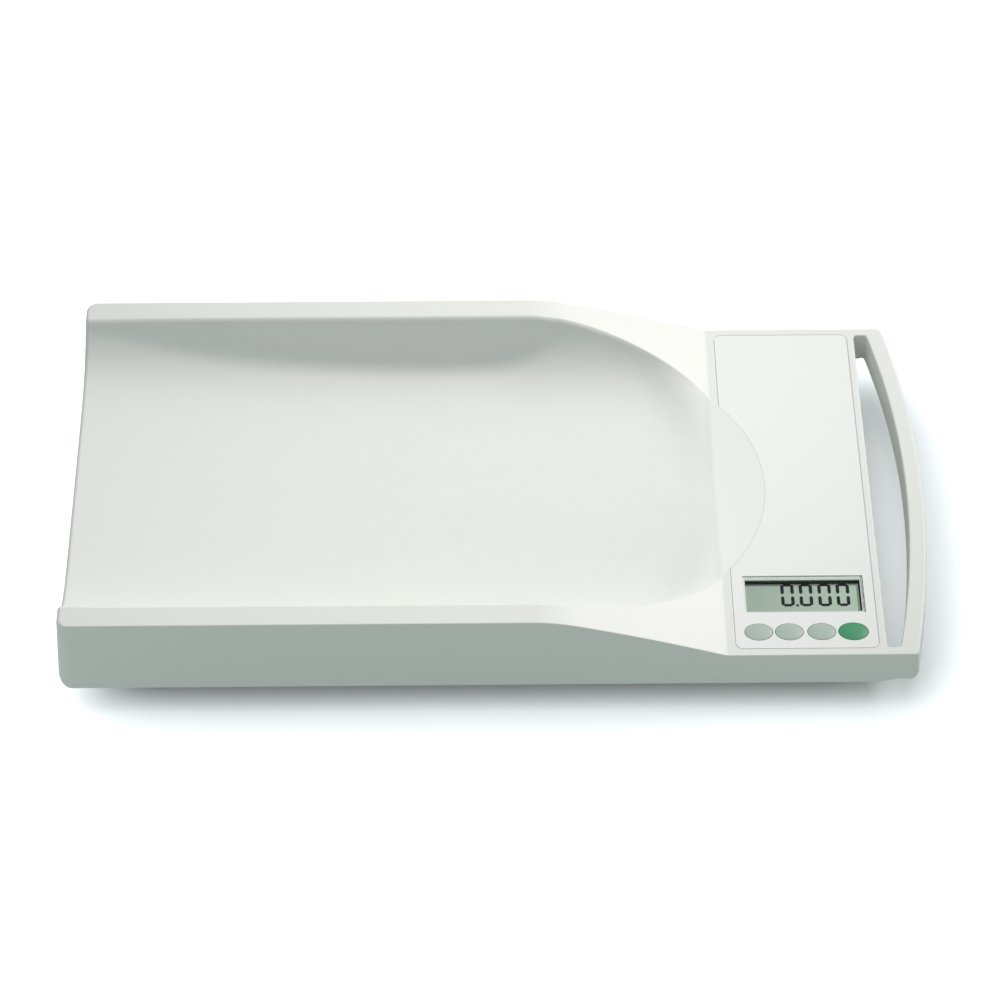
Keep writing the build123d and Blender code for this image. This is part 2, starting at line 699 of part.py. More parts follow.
def cell_leads():
    """One lead from each load cell to the connector on the board."""
    face, rest_z, high = CONNECTOR_X[0], 21.2, 30.5  # along the floor ribs, over the foot pockets
    left, right = FEET["front_left"][0], FEET["front_right"][0]
    routes = {
        "front_left": [
            (left, -106, 17.2),
            (left, -106, high),
            (left + 30, -104, high),
            (left + 47, -101, rest_z),
            (132, -97, rest_z),
            (158, -99, 36),
            (165, -98, LEAD_Z),
            (face, -98, LEAD_Z),
        ],
        "back_left": [
            (left, 106, 17.2),
            (left, 106, high),
            (left + 30, 104, high),
            (left + 47, 101, rest_z),
            (144, 98, rest_z),
            (148, -76, rest_z),
            (155, -92, 34),
            (164, -94.5, LEAD_Z),
            (face, -94.5, LEAD_Z),
        ],
        "back_right": [
            (right, 106, 17.2),
            (right, 106, high),
            (190, 101, high),
            (164, 84, 24),
            (157, 50, rest_z),
            (158, -62, rest_z),
            (158.5, -84, 33),
            (164, -90.5, LEAD_Z),
            (face, -90.5, LEAD_Z),
        ],
        "front_right": [
            (right, -106, 17.2),
            (right, -106, 32),
            (203, -97, 36),
            (193, -95, LEAD_Z),
            (CONNECTOR_X[1], -95, LEAD_Z),
        ],
    }
    bends = {
        "front_left": [6, 6, 12, 12, 8, 6],
        "back_left": [6, 6, 12, 18, 10, 6, 6],
        "back_right": [6, 8, 14, 12, 10, 5, 5],
        "front_right": [4, 6, 6],
    }
    return {name: tube(route, bends[name], 1.0) for name, route in routes.items()}


# ---------------------------------------------------------------- battery box
def battery_box():
    """Five-sided well over the opening in the base, open below."""
    wall = 2.0
    well = box(grown(WELL_X, wall), grown(WELL_Y, wall), (PAD_Z, ROOF_Z + wall))
    return well - box(WELL_X, WELL_Y, (PAD_Z - 1, ROOF_Z))


CELL_COLUMNS = [187.2, 203.0, 218.8]
CELL_AA_Z = 21.6
NUB = 1.2
NUB_R = 2.7
PLATE_T = 0.6
SPRING_END = 8.2  # length of a contact spring under load


def battery_cell(x, start, up):
    """One round cell with its nub; up points it along +Y."""
    end = start + CELL_AA_LENGTH
    can = (start, end - NUB) if up else (start + NUB, end)
    tip = (can[1], end) if up else (start, can[0])
    return rod_y(x, can, CELL_AA_Z, CELL_AA_R) + rod_y(x, tip, CELL_AA_Z, NUB_R)


def battery_cells():
    """Six cells in three columns; the middle column lies the other way round."""
    first = WELL_Y[0] + PLATE_T
    cells = []
    for column, x in enumerate(CELL_COLUMNS):
        up = column % 2 == 0
        start = first + (SPRING_END if up else 0)
        cells += [battery_cell(x, start + i * CELL_AA_LENGTH, up) for i in (0, 1)]
    return cells


def battery_contacts():
    """Contact plates at both ends of each column of cells, with the coils of the springs."""
    coils = 5
    pitch = SPRING_END / coils
    parts = []
    for column, x in enumerate(CELL_COLUMNS):
        up = column % 2 == 0
        for y in (WELL_Y[0], WELL_Y[1] - PLATE_T):
            parts.append(box((x - 6, x + 6), (y, y + PLATE_T), (CELL_AA_Z - 5, CELL_AA_Z + 6)))
        end = WELL_Y[0] + PLATE_T if up else WELL_Y[1] - PLATE_T
        away = 1 if up else -1
        for i in range(coils):
            coil_y = end + away * pitch * (i + 0.5)
            ring = Torus(mix(4.6, 2.8, (i + 0.5) / coils), pitch / 2)
            parts.append(Pos(x, coil_y, CELL_AA_Z) * Rot(90, 0, 0) * ring)
    return Compound(children=parts)


def battery_leads():
    """Two short leads from the battery box to the power connector."""
    wall, exit_z = WELL_Y[0] - 2, 24
    leads = []
    for x, end in ((192.0, 198.2), (206.0, 203.8)):
        route = [
            (x, wall, exit_z),
            (x, wall - 14, exit_z),
            (end, wall - 32, LEAD_Z - 2),
            (end, -77, LEAD_Z),
            (end, -84, LEAD_Z),
        ]
        leads.append(tube(route, [8, 10, 12], 0.8))
    return Compound(children=leads)


def battery_door():
    """Flush door in the base with two hinge knuckles and a snap tongue between two slots."""
    rim = DOOR_RIM - DOOR_GAP
    x, y, z = grown(WELL_X, rim), grown(WELL_Y, rim), (PAN_Z, PAN_Z + DOOR_T)
    door = box(x, y, z)
    door = fillet(door.edges().filter_by(Axis.Z), 2)
    middle = (x[0] + x[1]) / 2
    for slot_x in (middle - 9, middle + 9):
        door -= box((slot_x - 0.5, slot_x + 0.5), (y[0] - 1, y[0] + 14), grown(z, 1))
    for i in range(4):
        groove_y = y[0] + 3 + i * 2.4
        door -= box((middle - 6, middle + 6), (groove_y, groove_y + 1), (z[0] - 1, z[0] + 0.5))
    for rib_x in (middle - 7.9, middle + 7.9):
        door += box((rib_x - 0.6, rib_x + 0.6), (y[0] + 16, y[1] - 4), (z[1], z[1] + 0.9))
    for knuckle in KNUCKLES:
        door += box(knuckle, (y[1] - 1, HINGE_Y), (HINGE_Z - 1.1, z[1]))
        door += rod_x(knuckle, HINGE_Y, HINGE_Z, HINGE_Z - PAN_Z + 1)
        door -= rod_x(grown(knuckle, 1), HINGE_Y, HINGE_Z, PIN_R + 0.07)
    return door


def hinge_pins():
    """Pins of the two hinge knuckles, held by the base on both sides."""
    return Compound(children=[rod_x(grown(k, 3), HINGE_Y, HINGE_Z, PIN_R) for k in KNUCKLES])


# ---------------------------------------------------------------- write the parts
save(top_cover(), "top_cover")
save(keypad_overlay(), "keypad_overlay")
save(display_window(), "display_window")
save(display_gasket(), "display_gasket")
save(box(LCD_X, LCD_Y, LCD_Z), "lcd_panel")
save(lcd_segments(), "lcd_segments")
save(lcd_holder(), "lcd_holder")
save(zebra_strips(), "zebra_strips")
save(main_board(), "main_board")
save(board_chips(), "board_chips")
save(board_connectors(), "board_connectors")
save(board_screws(), "board_screws")
save(key_switches(), "key_switches")
for name in KEYS:
    save(key_cap(name), f"key_{name}")
    save(key_plunger(name), f"plunger_{name}")

save(bottom_cover(), "bottom_cover")
save(housing_screws(), "housing_screws")
for name, (x, y) in FEET.items():
    save(load_cell(x, y), f"load_cell_{name}")
    save(foot_bush(x, y), f"foot_bush_{name}")
    save(foot_screw(x, y), f"foot_screw_{name}")
    save(foot_pad(x, y), f"foot_pad_{name}")
for name, lead in cell_leads().items():
    save(lead, f"cell_lead_{name}")
save(strain_gauges(), "strain_gauges")
save(cell_screws(), "cell_screws")

save(battery_box(), "battery_box")
for number, cell in enumerate(battery_cells(), start=1):
    save(cell, f"battery_{number}")
save(battery_contacts(), "battery_contacts")
save(battery_leads(), "battery_leads")
save(battery_door(), "battery_door")
save(hinge_pins(), "hinge_pins")
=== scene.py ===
"""Looks of a digital baby weighing scale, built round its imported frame.

Metres in the scene; the sections work in millimetres and turn them into metres where a mesh is made.
+X runs from the open end of the cradle to the handle, -Y is the side with the keys, +Z is up.
"""

import math

import bpy
import numpy as np
from mathutils import Matrix, Vector
from mathutils.geometry import delaunay_2d_cdt


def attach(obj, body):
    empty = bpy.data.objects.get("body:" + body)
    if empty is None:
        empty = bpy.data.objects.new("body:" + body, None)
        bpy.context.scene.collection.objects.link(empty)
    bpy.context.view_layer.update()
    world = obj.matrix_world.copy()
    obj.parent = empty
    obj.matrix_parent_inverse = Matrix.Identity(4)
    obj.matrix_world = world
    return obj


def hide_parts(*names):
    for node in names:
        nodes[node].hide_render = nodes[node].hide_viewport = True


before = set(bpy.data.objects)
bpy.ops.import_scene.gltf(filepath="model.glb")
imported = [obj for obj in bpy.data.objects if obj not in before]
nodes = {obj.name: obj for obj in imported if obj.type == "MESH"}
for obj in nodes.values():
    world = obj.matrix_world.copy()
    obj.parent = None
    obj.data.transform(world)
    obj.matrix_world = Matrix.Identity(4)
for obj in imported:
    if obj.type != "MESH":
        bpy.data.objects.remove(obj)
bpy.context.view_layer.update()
MM = 0.001


# ------------------------------------------------------------------ camera
# The scale is seen from its key side, from well above, through a long lens.
# The camera stands on a line from a point near the middle of the cradle.
FRAME_PX = 1000
SENSOR_MM = 36
FOCAL_PX = 3726
YAW = math.radians(-0.500)
PITCH = math.radians(45.889)
ROLL = math.radians(-0.084)
AIM = Vector((0.92, 15.78, 24.0)) * MM
DISTANCE = 2674.2 * MM

back = Vector((math.sin(YAW) * math.cos(PITCH), -math.cos(YAW) * math.cos(PITCH), math.sin(PITCH)))
level = Vector((math.cos(YAW), math.sin(YAW), 0))
rise = back.cross(level)
right = level * math.cos(ROLL) + rise * math.sin(ROLL)
up = rise * math.cos(ROLL) - level * math.sin(ROLL)
lens = bpy.data.cameras.new("camera")
lens.sensor_width = SENSOR_MM
lens.lens = FOCAL_PX * SENSOR_MM / FRAME_PX
lens.clip_start = 0.05
lens.clip_end = 50
camera = bpy.data.objects.new("camera", lens)
turn = Matrix((right, up, back)).transposed()
camera.matrix_world = Matrix.Translation(AIM + back * DISTANCE) @ turn.to_4x4()
bpy.context.scene.collection.objects.link(camera)
bpy.context.scene.camera = camera


# ------------------------------------------------------------------ studio
# One broad lamp stands behind the scale, high up on the handle's side, in a pale room.
# The white floor has a wide soft light of its own, so that its shadow stays short, soft and slightly blue.
LAMP_AIM = Vector((-0.03, 0.0, 0.06))
LAMP_TOWARDS = Vector((0.80, 0.675, 1.0)).normalized()
LAMP_DISTANCE = 3.2
LAMP_RADIUS = 0.27
LAMP_CONE = math.radians(23)
LAMP_POWER = 366.0
LAMP_COLOUR = (1.0, 0.955, 0.945)
FLOOR_LAMP_TOWARDS = Vector((-0.6, 0.1, 1.0)).normalized()
FLOOR_LAMP_SPREAD = math.radians(100)
FLOOR_LAMP_STRENGTH = 3.75
FLOOR_LAMP_COLOUR = (0.98, 1.01, 1.06)
SKY_STRENGTH = 0.44
SKY_COLOUR = (0.89, 1.0, 0.98)
SKY_LEAN = 0.35  # the room is brighter at the open end of the cradle
FLOOR_HALF = 6.0
FLOOR_TONE = (0.37, 0.41, 0.385)  # of the light that the floor throws back on the scale


def add_node(tree, kind, values=None, operation=None):
    """A shader node of the named kind, with plain values in some of its sockets."""
    node = tree.nodes.new("ShaderNode" + kind)
    if operation:
        node.operation = operation
    for socket, value in (values or {}).items():
        node.inputs[socket].default_value = value
    return node


def wire(tree, *links):
    """Joins nodes; each link names a node and its output, then a node and its input."""
    for source, output, target, socket in links:
        tree.links.new(source.outputs[output], target.inputs[socket])


def hang(name, data, towards):
    """Hangs a lamp so that it shines at the scale."""
    turn = towards.to_track_quat("Z", "Y").to_matrix().to_4x4()
    hung = bpy.data.objects.new(name, data)
    hung.matrix_world = Matrix.Translation(LAMP_AIM + towards * LAMP_DISTANCE) @ turn
    bpy.context.scene.collection.objects.link(hung)
    return hung


lamp_data = bpy.data.lights.new("lamp", "SPOT")
lamp_data.shadow_soft_size = LAMP_RADIUS
lamp_data.spot_size = LAMP_CONE
lamp_data.spot_blend = 1.0
lamp_data.energy = LAMP_POWER
lamp_data.color = LAMP_COLOUR
lamp = hang("lamp", lamp_data, LAMP_TOWARDS)

floor_lamp_data = bpy.data.lights.new("floor_lamp", "SUN")
floor_lamp_data.angle = FLOOR_LAMP_SPREAD
floor_lamp_data.energy = FLOOR_LAMP_STRENGTH
floor_lamp_data.color = FLOOR_LAMP_COLOUR
floor_lamp = hang("floor_lamp", floor_lamp_data, FLOOR_LAMP_TOWARDS)

room = bpy.data.worlds.new("room")
bpy.context.scene.world = room
room.use_nodes = True
room_tree = room.node_tree
sky = room_tree.nodes["Background"]
sky.inputs["Color"].default_value = (*SKY_COLOUR, 1)
sky_place = add_node(room_tree, "TexCoord")
sky_axes = add_node(room_tree, "SeparateXYZ")
sky_range = {
    "From Min": -1,
    "To Min": SKY_STRENGTH * (1 + SKY_LEAN),
    "To Max": SKY_STRENGTH * (1 - SKY_LEAN),
}
sky_side = add_node(room_tree, "MapRange", sky_range)
white = add_node(room_tree, "Background", {"Color": (1, 1, 1, 1), "Strength": 1})
ray = add_node(room_tree, "LightPath")
seen_or_glossy = add_node(room_tree, "Math", operation="MAXIMUM")
shows_white = add_node(room_tree, "Math", operation="MAXIMUM")
room_mix = add_node(room_tree, "MixShader")
wire(
    room_tree,
    (sky_place, "Generated", sky_axes, "Vector"),
    (sky_axes, "X", sky_side, "Value"),
    (sky_side, "Result", sky, "Strength"),
    (ray, "Is Camera Ray", seen_or_glossy, 0),
    (ray, "Is Glossy Ray", seen_or_glossy, 1),
    (seen_or_glossy, "Value", shows_white, 0),
    (ray, "Is Transmission Ray", shows_white, 1),
    (shows_white, "Value", room_mix, "Fac"),
    (sky, "Background", room_mix, 1),
    (white, "Background", room_mix, 2),
    (room_mix, "Shader", room_tree.nodes["World Output"], "Surface"),
)

floor_mesh = bpy.data.meshes.new("floor")
floor_corners = [(sx * FLOOR_HALF, sy * FLOOR_HALF, 0) for sx, sy in ((-1, -1), (1, -1), (1, 1), (-1, 1))]
floor_mesh.from_pydata(floor_corners, [], [(0, 1, 2, 3)])
floor = bpy.data.objects.new("floor", floor_mesh)
bpy.context.scene.collection.objects.link(floor)
floor_paint = bpy.data.materials.new("floor_white")
floor_paint.use_nodes = True
floor_tree = floor_paint.node_tree
floor_tree.nodes.remove(floor_tree.nodes["Principled BSDF"])
seen = add_node(floor_tree, "BsdfDiffuse", {"Color": (1, 1, 1, 1)})
bounce = add_node(floor_tree, "BsdfDiffuse", {"Color": (*FLOOR_TONE, 1)})
floor_ray = add_node(floor_tree, "LightPath")
floor_mix = add_node(floor_tree, "MixShader")
wire(
    floor_tree,
    (floor_ray, "Is Camera Ray", floor_mix, "Fac"),
    (bounce, "BSDF", floor_mix, 1),
    (seen, "BSDF", floor_mix, 2),
    (floor_mix, "Shader", floor_tree.nodes["Material Output"], "Surface"),
)
floor_mesh.materials.append(floor_paint)
bpy.context.scene.view_settings.view_transform = "Standard"

only_floor = bpy.data.collections.new("floor_lamp_receivers")
only_floor.objects.link(floor)
floor_lamp.light_linking.receiver_collection = only_floor
not_floor = bpy.data.collections.new("lamp_receivers")
not_floor.objects.link(floor)
not_floor.collection_objects[0].light_linking.link_state = "EXCLUDE"
lamp.light_linking.receiver_collection = not_floor


# ------------------------------------------------------------------ top cover
# One injection-moulded shell of cream-white ABS, 3 mm thick and open below, with a fine eroded grain.
# The tray runs out on the flat console in a shallow round dish, and the bowed handle is part of it.
# Hollow bosses stand under the rims for the screws that come up through the base.
LEFT_X, APEX_X = -300.0, 299.2  # length and width are taken at the height of the rims
HALF_W = 160.0
HEIGHT = 86.0
DRAFT = math.tan(math.radians(2.5))
SKIRT_Z = 26.0
CONSOLE_Z = 53.0
WALL = 3.0

RIM_HALF = 141.6
RIM_END_X = 36.0
FOLD_X = 153.6  # where the shoulder meets the console
LOW_X, LOW_Z = -40.0, 42.0  # the lowest place of the cradle's floor
END_Z = 54.5  # the floor at the open end
FOLD_FLOOR_Z = 48.0
FLOOR_POWER = 1.6
DISH_X, DISH_R = 60.7, 126.9
BLEND_X = 148.0  # from here to the fold the trough turns into the round dish
BELLY = 32.0  # how far the floor's curve would climb along the tray
CURVE_POWER = (7.0, 6.5, 2.0)  # of that curve: along the tray, on the shoulder and at the fold
WALL_SLOPE = (2.06, 0.12)  # of the steep wall, and of what is left of it at the fold
WALL_FOOT = (5.0, 0.5)  # rounding between floor and wall, along the tray and on the shoulder
ROUND_X, SHALLOW_X = (-10.0, 75.0), (104.0, 152.0)  # where one section turns into the next
NARROWING = (1.85, 0.76)  # powers of the curve in which the shoulder narrows towards the fold
RIM_ROUND, SHOULDER_ROUND, DISH_ROUND = 2.0, 1.2, 0.35
RIM_END_ROUND, FOLD_ROUND = 14.0, 1.2
SHOULDER_BULGE = 1.4  # the slope between the rims and the console is slightly full

BOW_SAGITTA = 16.3  # of the handle, over the whole width of the scale
END_CORNER_R, HANDLE_CORNER_R = 7.0, 4.0
SIDE_ROUND, END_ROUND, HANDLE_ROUND = 0.9, 3.0, 2.2  # of the upper edge
LOW_SIDE_ROUND, LOW_HANDLE_ROUND = 0.7, 3.0  # of the lower edge
LOW_CORNER_R = 8.0
RISE_X, RISE_R, BAR_UNDER_Z = 250.0, 75.0, 29.0  # the lower edge climbs to the handle's underside
SLOT_X, SLOT_HALF, SLOT_APEX_X = 263.1, 154.0, APEX_X + (HEIGHT - CONSOLE_Z) * DRAFT - 12.1
SLOT_CORNER_R, SLOT_ROUND = 2.5, 1.2

OVERLAY_X = (160.2, 257.65)
OVERLAY_HALF = 154.75
OVERLAY_CORNER_R = 5.0
OVERLAY_ARC_R = 128.0
OVERLAY_T = 0.8
GROOVE = 0.45
GROOVE_ROUND = 0.35
ARC_GROOVE_SHARE = 0.2  # the groove is finer along the arc
WINDOW_X = (167.8, 251.1)
WINDOW_Y = (-122.0, -87.5)
WINDOW_LAP = 1.4
KEYS = {"hold": 176.3, "tare": 197.2, "units": 219.3, "start": 241.1}
KEY_SIZE, START_KEY_SIZE = (19.0, 15.0), (20.3, 15.7)
KEY_Y = -139.9
KEY_GAP = 0.35
BOSS_X = (-272.0, -150.0, -20.0, 110.0, 255.0)
BOSS_Y = 150.0
BOSS_R, BOSS_BORE_R = 4.0, 1.45
BOARD_BOSSES = [(166.0, -81.5), (247.5, -81.5), (165.0, -127.7), (230.2, -127.7)]
BOARD_BOSS_R, BOARD_BORE_R = 2.9, 1.05
FLANGE_TOP_Z, BOARD_TOP_Z = 30.5, 41.5
TRAY_STEP, SHOULDER_STEP, CONSOLE_STEP = 6, 5, 8  # between the stations of the mesh


class Skin:
    """Points, faces and corner normals of one moulded piece, in millimetres."""

    def __init__(self):
        self.points, self.faces, self.normals = [], [], []

    def add(self, x, y, z):
        self.points.append((x, y, z))
        return len(self.points) - 1

    def ring(self, outline, z):
        """A row of points over a plan outline; z is a height or a function of x and y."""
        return [self.add(x, y, z(x, y) if callable(z) else z) for x, y in outline]

    def face(self, corners, normals=None):
        """One face; without normals it is shaded flat."""
        self.faces.append(tuple(corners))
        self.normals.extend(normals or [(0, 0, 0)] * len(corners))

    def strip(self, upper, lower, upper_normals=None, lower_normals=None, hole=False, closed=True):
        """Quads between two rings, the lower one further out, or further in round a hole."""
        count = len(upper) if closed else len(upper) - 1
        for i in range(count):
            j = (i + 1) % len(upper)
            corners = [upper[i], lower[i], lower[j], upper[j]]
            normals = None
            if upper_normals:
                normals = [upper_normals[i], lower_normals[i], lower_normals[j], upper_normals[j]]
            if hole:
                corners.reverse()
                normals = normals and normals[::-1]
            self.face(corners, normals)

    def fill(self, loops, lines=(), free=(), down=False, normal=None):
        """Triangles inside the first loop and outside the others, through every line and free point."""
        wanted = sorted({i for row in (*loops, *lines, free) for i in row})
        order = {index: k for k, index in enumerate(wanted)}
        flat = [Vector(self.points[i][:2]) for i in wanted]
        edges = [(order[a], order[b]) for loop in loops for a, b in zip(loop, loop[1:] + loop[:1])]
        edges += [(order[a], order[b]) for line in lines for a, b in zip(line, line[1:])]
        verts, _, triangles, origin, _, _ = delaunay_2d_cdt(flat, edges, [], 0, 1e-7)
        spots = np.array([(v.x, v.y) for v in verts])
        middles = spots[np.array(triangles)].mean(axis=1)
        inside = np.zeros(len(middles), bool)
        for loop in loops:
            for a, b in zip(loop, loop[1:] + loop[:1]):
                (x1, y1), (x2, y2) = self.points[a][:2], self.points[b][:2]
                if y1 != y2:
                    crosses = (middles[:, 1] < y1) != (middles[:, 1] < y2)
                    inside ^= crosses & (middles[:, 0] < x1 + (middles[:, 1] - y1) * (x2 - x1) / (y2 - y1))
        own = [wanted[origin[k][0]] if origin[k] else None for k in range(len(verts))]
        for k, index in enumerate(own):
            if index is None:
                raise RuntimeError("two outlines of the cover cross at " + str(tuple(verts[k])))
        for triangle, keep in zip(triangles, inside):
            if keep:
                corners = [own[k] for k in triangle]
                (x1, y1, _), (x2, y2, _), (x3, y3, _) = (self.points[i] for i in corners)
                if ((x2 - x1) * (y3 - y1) - (x3 - x1) * (y2 - y1) < 0) != down:
                    corners.reverse()
                self.face(corners, normal and [normal(i) for i in corners])

    def build(self, name, material):
        """The finished object, in metres."""
        mesh = bpy.data.meshes.new(name)
        mesh.from_pydata([Vector(p) * MM for p in self.points], [], self.faces)
        mesh.materials.append(material)
        mesh.shade_smooth()
        flat = [n == (0, 0, 0) for n in self.normals]
        mesh.validate()
        normals = [Vector(n) for n in self.normals]
        for face in mesh.polygons:
            for loop in face.loop_indices:
                if flat[loop]:
                    normals[loop] = face.normal.copy()
        mesh.normals_split_custom_set(normals)
        piece = bpy.data.objects.new(name, mesh)
        bpy.context.scene.collection.objects.link(piece)
        return piece


def mix(a, b, share):
    return a + (b - a) * share


def ease(value):
    """Ease from 0 to 1."""
    value = min(1.0, max(0.0, value))
    return value * value * (3 - 2 * value)


def lower_of(a, b, blend):
    """The lower of two heights, with the corner between them rounded over the given difference."""
    near = max(blend - abs(a - b), 0.0)
    return min(a, b) - (near * near / (4 * blend) if near else 0.0)


def floor_z(x):
    """Height of the cradle floor on the centre line."""
    if x < LOW_X:
        return mix(LOW_Z, END_Z, ((LOW_X - x) / (LOW_X - LEFT_X)) ** 2)
    return mix(LOW_Z, FOLD_FLOOR_Z, ((x - LOW_X) / (FOLD_X - LOW_X)) ** FLOOR_POWER)


def trough_z(x, y):
    """Height of the cradle up to the fold: a floor that curves up, with a steep wall along the tray."""
    share = min(1.0, max(0.0, (x - RIM_END_X) / (FOLD_X - RIM_END_X)))
    rounded = ease((x - ROUND_X[0]) / (ROUND_X[1] - ROUND_X[0]))
    shallow = ease((x - SHALLOW_X[0]) / (SHALLOW_X[1] - SHALLOW_X[0]))
    fold_half = math.sqrt(DISH_R**2 - (FOLD_X - DISH_X) ** 2)
    half = mix(fold_half, RIM_HALF, (1 - share ** NARROWING[0]) ** NARROWING[1])
    rim = mix(HEIGHT, CONSOLE_Z, share)
    low = floor_z(x)
    power = mix(mix(CURVE_POWER[0], CURVE_POWER[1], rounded), CURVE_POWER[2], shallow)
    belly = low + mix(BELLY, rim - low, rounded) * (abs(y) / half) ** power
    wall = rim - mix(*WALL_SLOPE, shallow) * (half - abs(y))
    return -lower_of(-belly, -wall, mix(*WALL_FOOT, rounded))


def dish_z(x, y):
    """Height of the round dish; it reaches the console at DISH_R from its centre."""
    depth = (CONSOLE_Z - FOLD_FLOOR_Z) / (1 - ((FOLD_X - DISH_X) / DISH_R) ** 2)
    return CONSOLE_Z - depth * (1 - ((x - DISH_X) ** 2 + y**2) / DISH_R**2)


def cradle_z(x, y):
    trough = trough_z(min(x, FOLD_X), y)
    return mix(trough, dish_z(x, y), ease((x - BLEND_X) / (FOLD_X - BLEND_X)))


def shoulder_z(x):
    """Height of the rims, of the shoulder that falls from them, and of the console."""
    fall = (HEIGHT - CONSOLE_Z) / (FOLD_X - RIM_END_X)
    share = min(1.0, max(0.0, (x - RIM_END_X) / (FOLD_X - RIM_END_X)))
    slope = HEIGHT - (x - RIM_END_X) * fall + SHOULDER_BULGE * math.sin(math.pi * share)
    return -lower_of(-lower_of(HEIGHT, slope, RIM_END_ROUND * fall), -CONSOLE_Z, FOLD_ROUND * fall)


def crease_round(x):
    """How far the rounding between the cradle and the rims reaches to each side."""
    if x < BLEND_X:
        return mix(RIM_ROUND, SHOULDER_ROUND, ease((x - RIM_END_X) / (BLEND_X - RIM_END_X)))
    return mix(SHOULDER_ROUND, DISH_ROUND, ease((x - BLEND_X) / (FOLD_X - BLEND_X)))


def step_between(x, y):
    return cradle_z(x, y) - shoulder_z(x)


def top_z(x, y):
    """Height of the upper face of the cover."""
    d = 0.2
    across = (step_between(x, y + d) - step_between(x, y - d)) / (2 * d)
    along = (step_between(x + d, y) - step_between(x - d, y)) / (2 * d)
    blend = crease_round(x) * math.hypot(across, along) + 1e-6
    return lower_of(cradle_z(x, y), shoulder_z(x), blend)


def slope_of(height, x, y, d=0.05):
    """Slope of a height function along x and along y."""
    return (
        (height(x + d, y) - height(x - d, y)) / (2 * d),
        (height(x, y + d) - height(x, y - d)) / (2 * d),
    )


def ceiling_z(x, y):
    """Height of the inner face, one wall under the upper one."""
    along, across = slope_of(top_z, x, y, 1.0)
    return min(top_z(x, y), shoulder_z(x)) - WALL * math.sqrt(1 + along**2 + across**2)


def lean(z):
    """How far the outer walls stand out at a height, against the height of the rims."""
    return (HEIGHT - z) * DRAFT


def leaning(outline, height):
    """The outline where the leaning walls have the given height, a function of x and y."""
    grown = [(lean(height(x, y)), x, y, nx, ny) for x, y, nx, ny in outline]
    return [(x + out * nx, y + out * ny, nx, ny) for out, x, y, nx, ny in grown]


def lower_edge_z(x):
    """Height of the lower edge: rounded up at the open end, rising to the underside of the handle."""
    round_x = LEFT_X - lean(SKIRT_Z + LOW_CORNER_R) + LOW_CORNER_R
    if x < round_x:
        reach = min(round_x - x, LOW_CORNER_R)
        return SKIRT_Z + LOW_CORNER_R - math.sqrt(LOW_CORNER_R**2 - reach**2)
    if x > RISE_X:
        return min(BAR_UNDER_Z, SKIRT_Z + RISE_R - math.sqrt(RISE_R**2 - (x - RISE_X) ** 2))
    return SKIRT_Z


def spread(start, end, step):
    """Evenly spaced values from start to end, both included."""
    count = max(1, round(abs(end - start) / step))
    return [start + (end - start) * i / count for i in range(count + 1)]


def arc_points(x, y, radius, start, end, count):
    """Points and outward normals on an arc, angles in degrees."""
    turns = [math.radians(start + (end - start) * i / count) for i in range(count + 1)]
    return [(x + radius * math.cos(a), y + radius * math.sin(a), math.cos(a), math.sin(a)) for a in turns]


def bowed_outline(left, half, apex, corners, end_y, side_x):
    """Outline with a straight left end and sides and a bowed right end, anticlockwise, with normals."""
    near_r, far_r = corners
    bow_r = (half**2 + BOW_SAGITTA**2) / (2 * BOW_SAGITTA)
    bow_x = apex - bow_r
    corner_x = bow_x + math.sqrt((bow_r - far_r) ** 2 - (half - far_r) ** 2)
    tip = math.degrees(math.asin((half - far_r) / (bow_r - far_r)))
    side_x = [x for x in side_x if left + near_r < x < corner_x]
    points = [(left, y, -1, 0) for y in sorted(end_y, reverse=True) if abs(y) < half - near_r]
    points += arc_points(left + near_r, -half + near_r, near_r, 180, 270, 7)
    points += [(x, -half, 0, -1) for x in side_x]
    points += arc_points(corner_x, -half + far_r, far_r, 270, 360 - tip, 6)
    points += arc_points(bow_x, 0, bow_r, -tip, tip, 44)[1:-1]
    points += arc_points(corner_x, half - far_r, far_r, tip, 90, 6)
    points += [(x, half, 0, 1) for x in reversed(side_x)]
    points += arc_points(left + near_r, half - near_r, near_r, 90, 180, 7)
    return points


def pocket_outline(grow):
    """Outline of the keypad overlay, grown: a rounded rectangle with an arc taken out round the dish."""
    left, far = OVERLAY_X[0] - grow, OVERLAY_X[1] + grow
    half, corner_r = OVERLAY_HALF + grow, OVERLAY_CORNER_R + grow
    arc_r = OVERLAY_ARC_R - ARC_GROOVE_SHARE * grow
    horn = math.degrees(math.acos((left - DISH_X) / arc_r))
    horn_y = arc_r * math.sin(math.radians(horn))
    points = [(left, y) for y in spread(-horn_y, -half + corner_r, 8)[:-1]]
    points += [p[:2] for p in arc_points(left + corner_r, -half + corner_r, corner_r, 180, 270, 6)]
    points += [(x, -half) for x in spread(left + corner_r, far - corner_r, 8)[1:-1]]
    points += [p[:2] for p in arc_points(far - corner_r, -half + corner_r, corner_r, 270, 360, 6)]
    points += [(far, y) for y in spread(-half + corner_r, half - corner_r, 8)[1:-1]]
    points += [p[:2] for p in arc_points(far - corner_r, half - corner_r, corner_r, 0, 90, 6)]
    points += [(x, half) for x in spread(far - corner_r, left + corner_r, 8)[1:-1]]
    points += [p[:2] for p in arc_points(left + corner_r, half - corner_r, corner_r, 90, 180, 6)]
    points += [(left, y) for y in spread(half - corner_r, horn_y, 8)[1:]]
    points += [p[:2] for p in arc_points(DISH_X, 0, arc_r, horn, -horn, 48)[1:-1]]
    return points


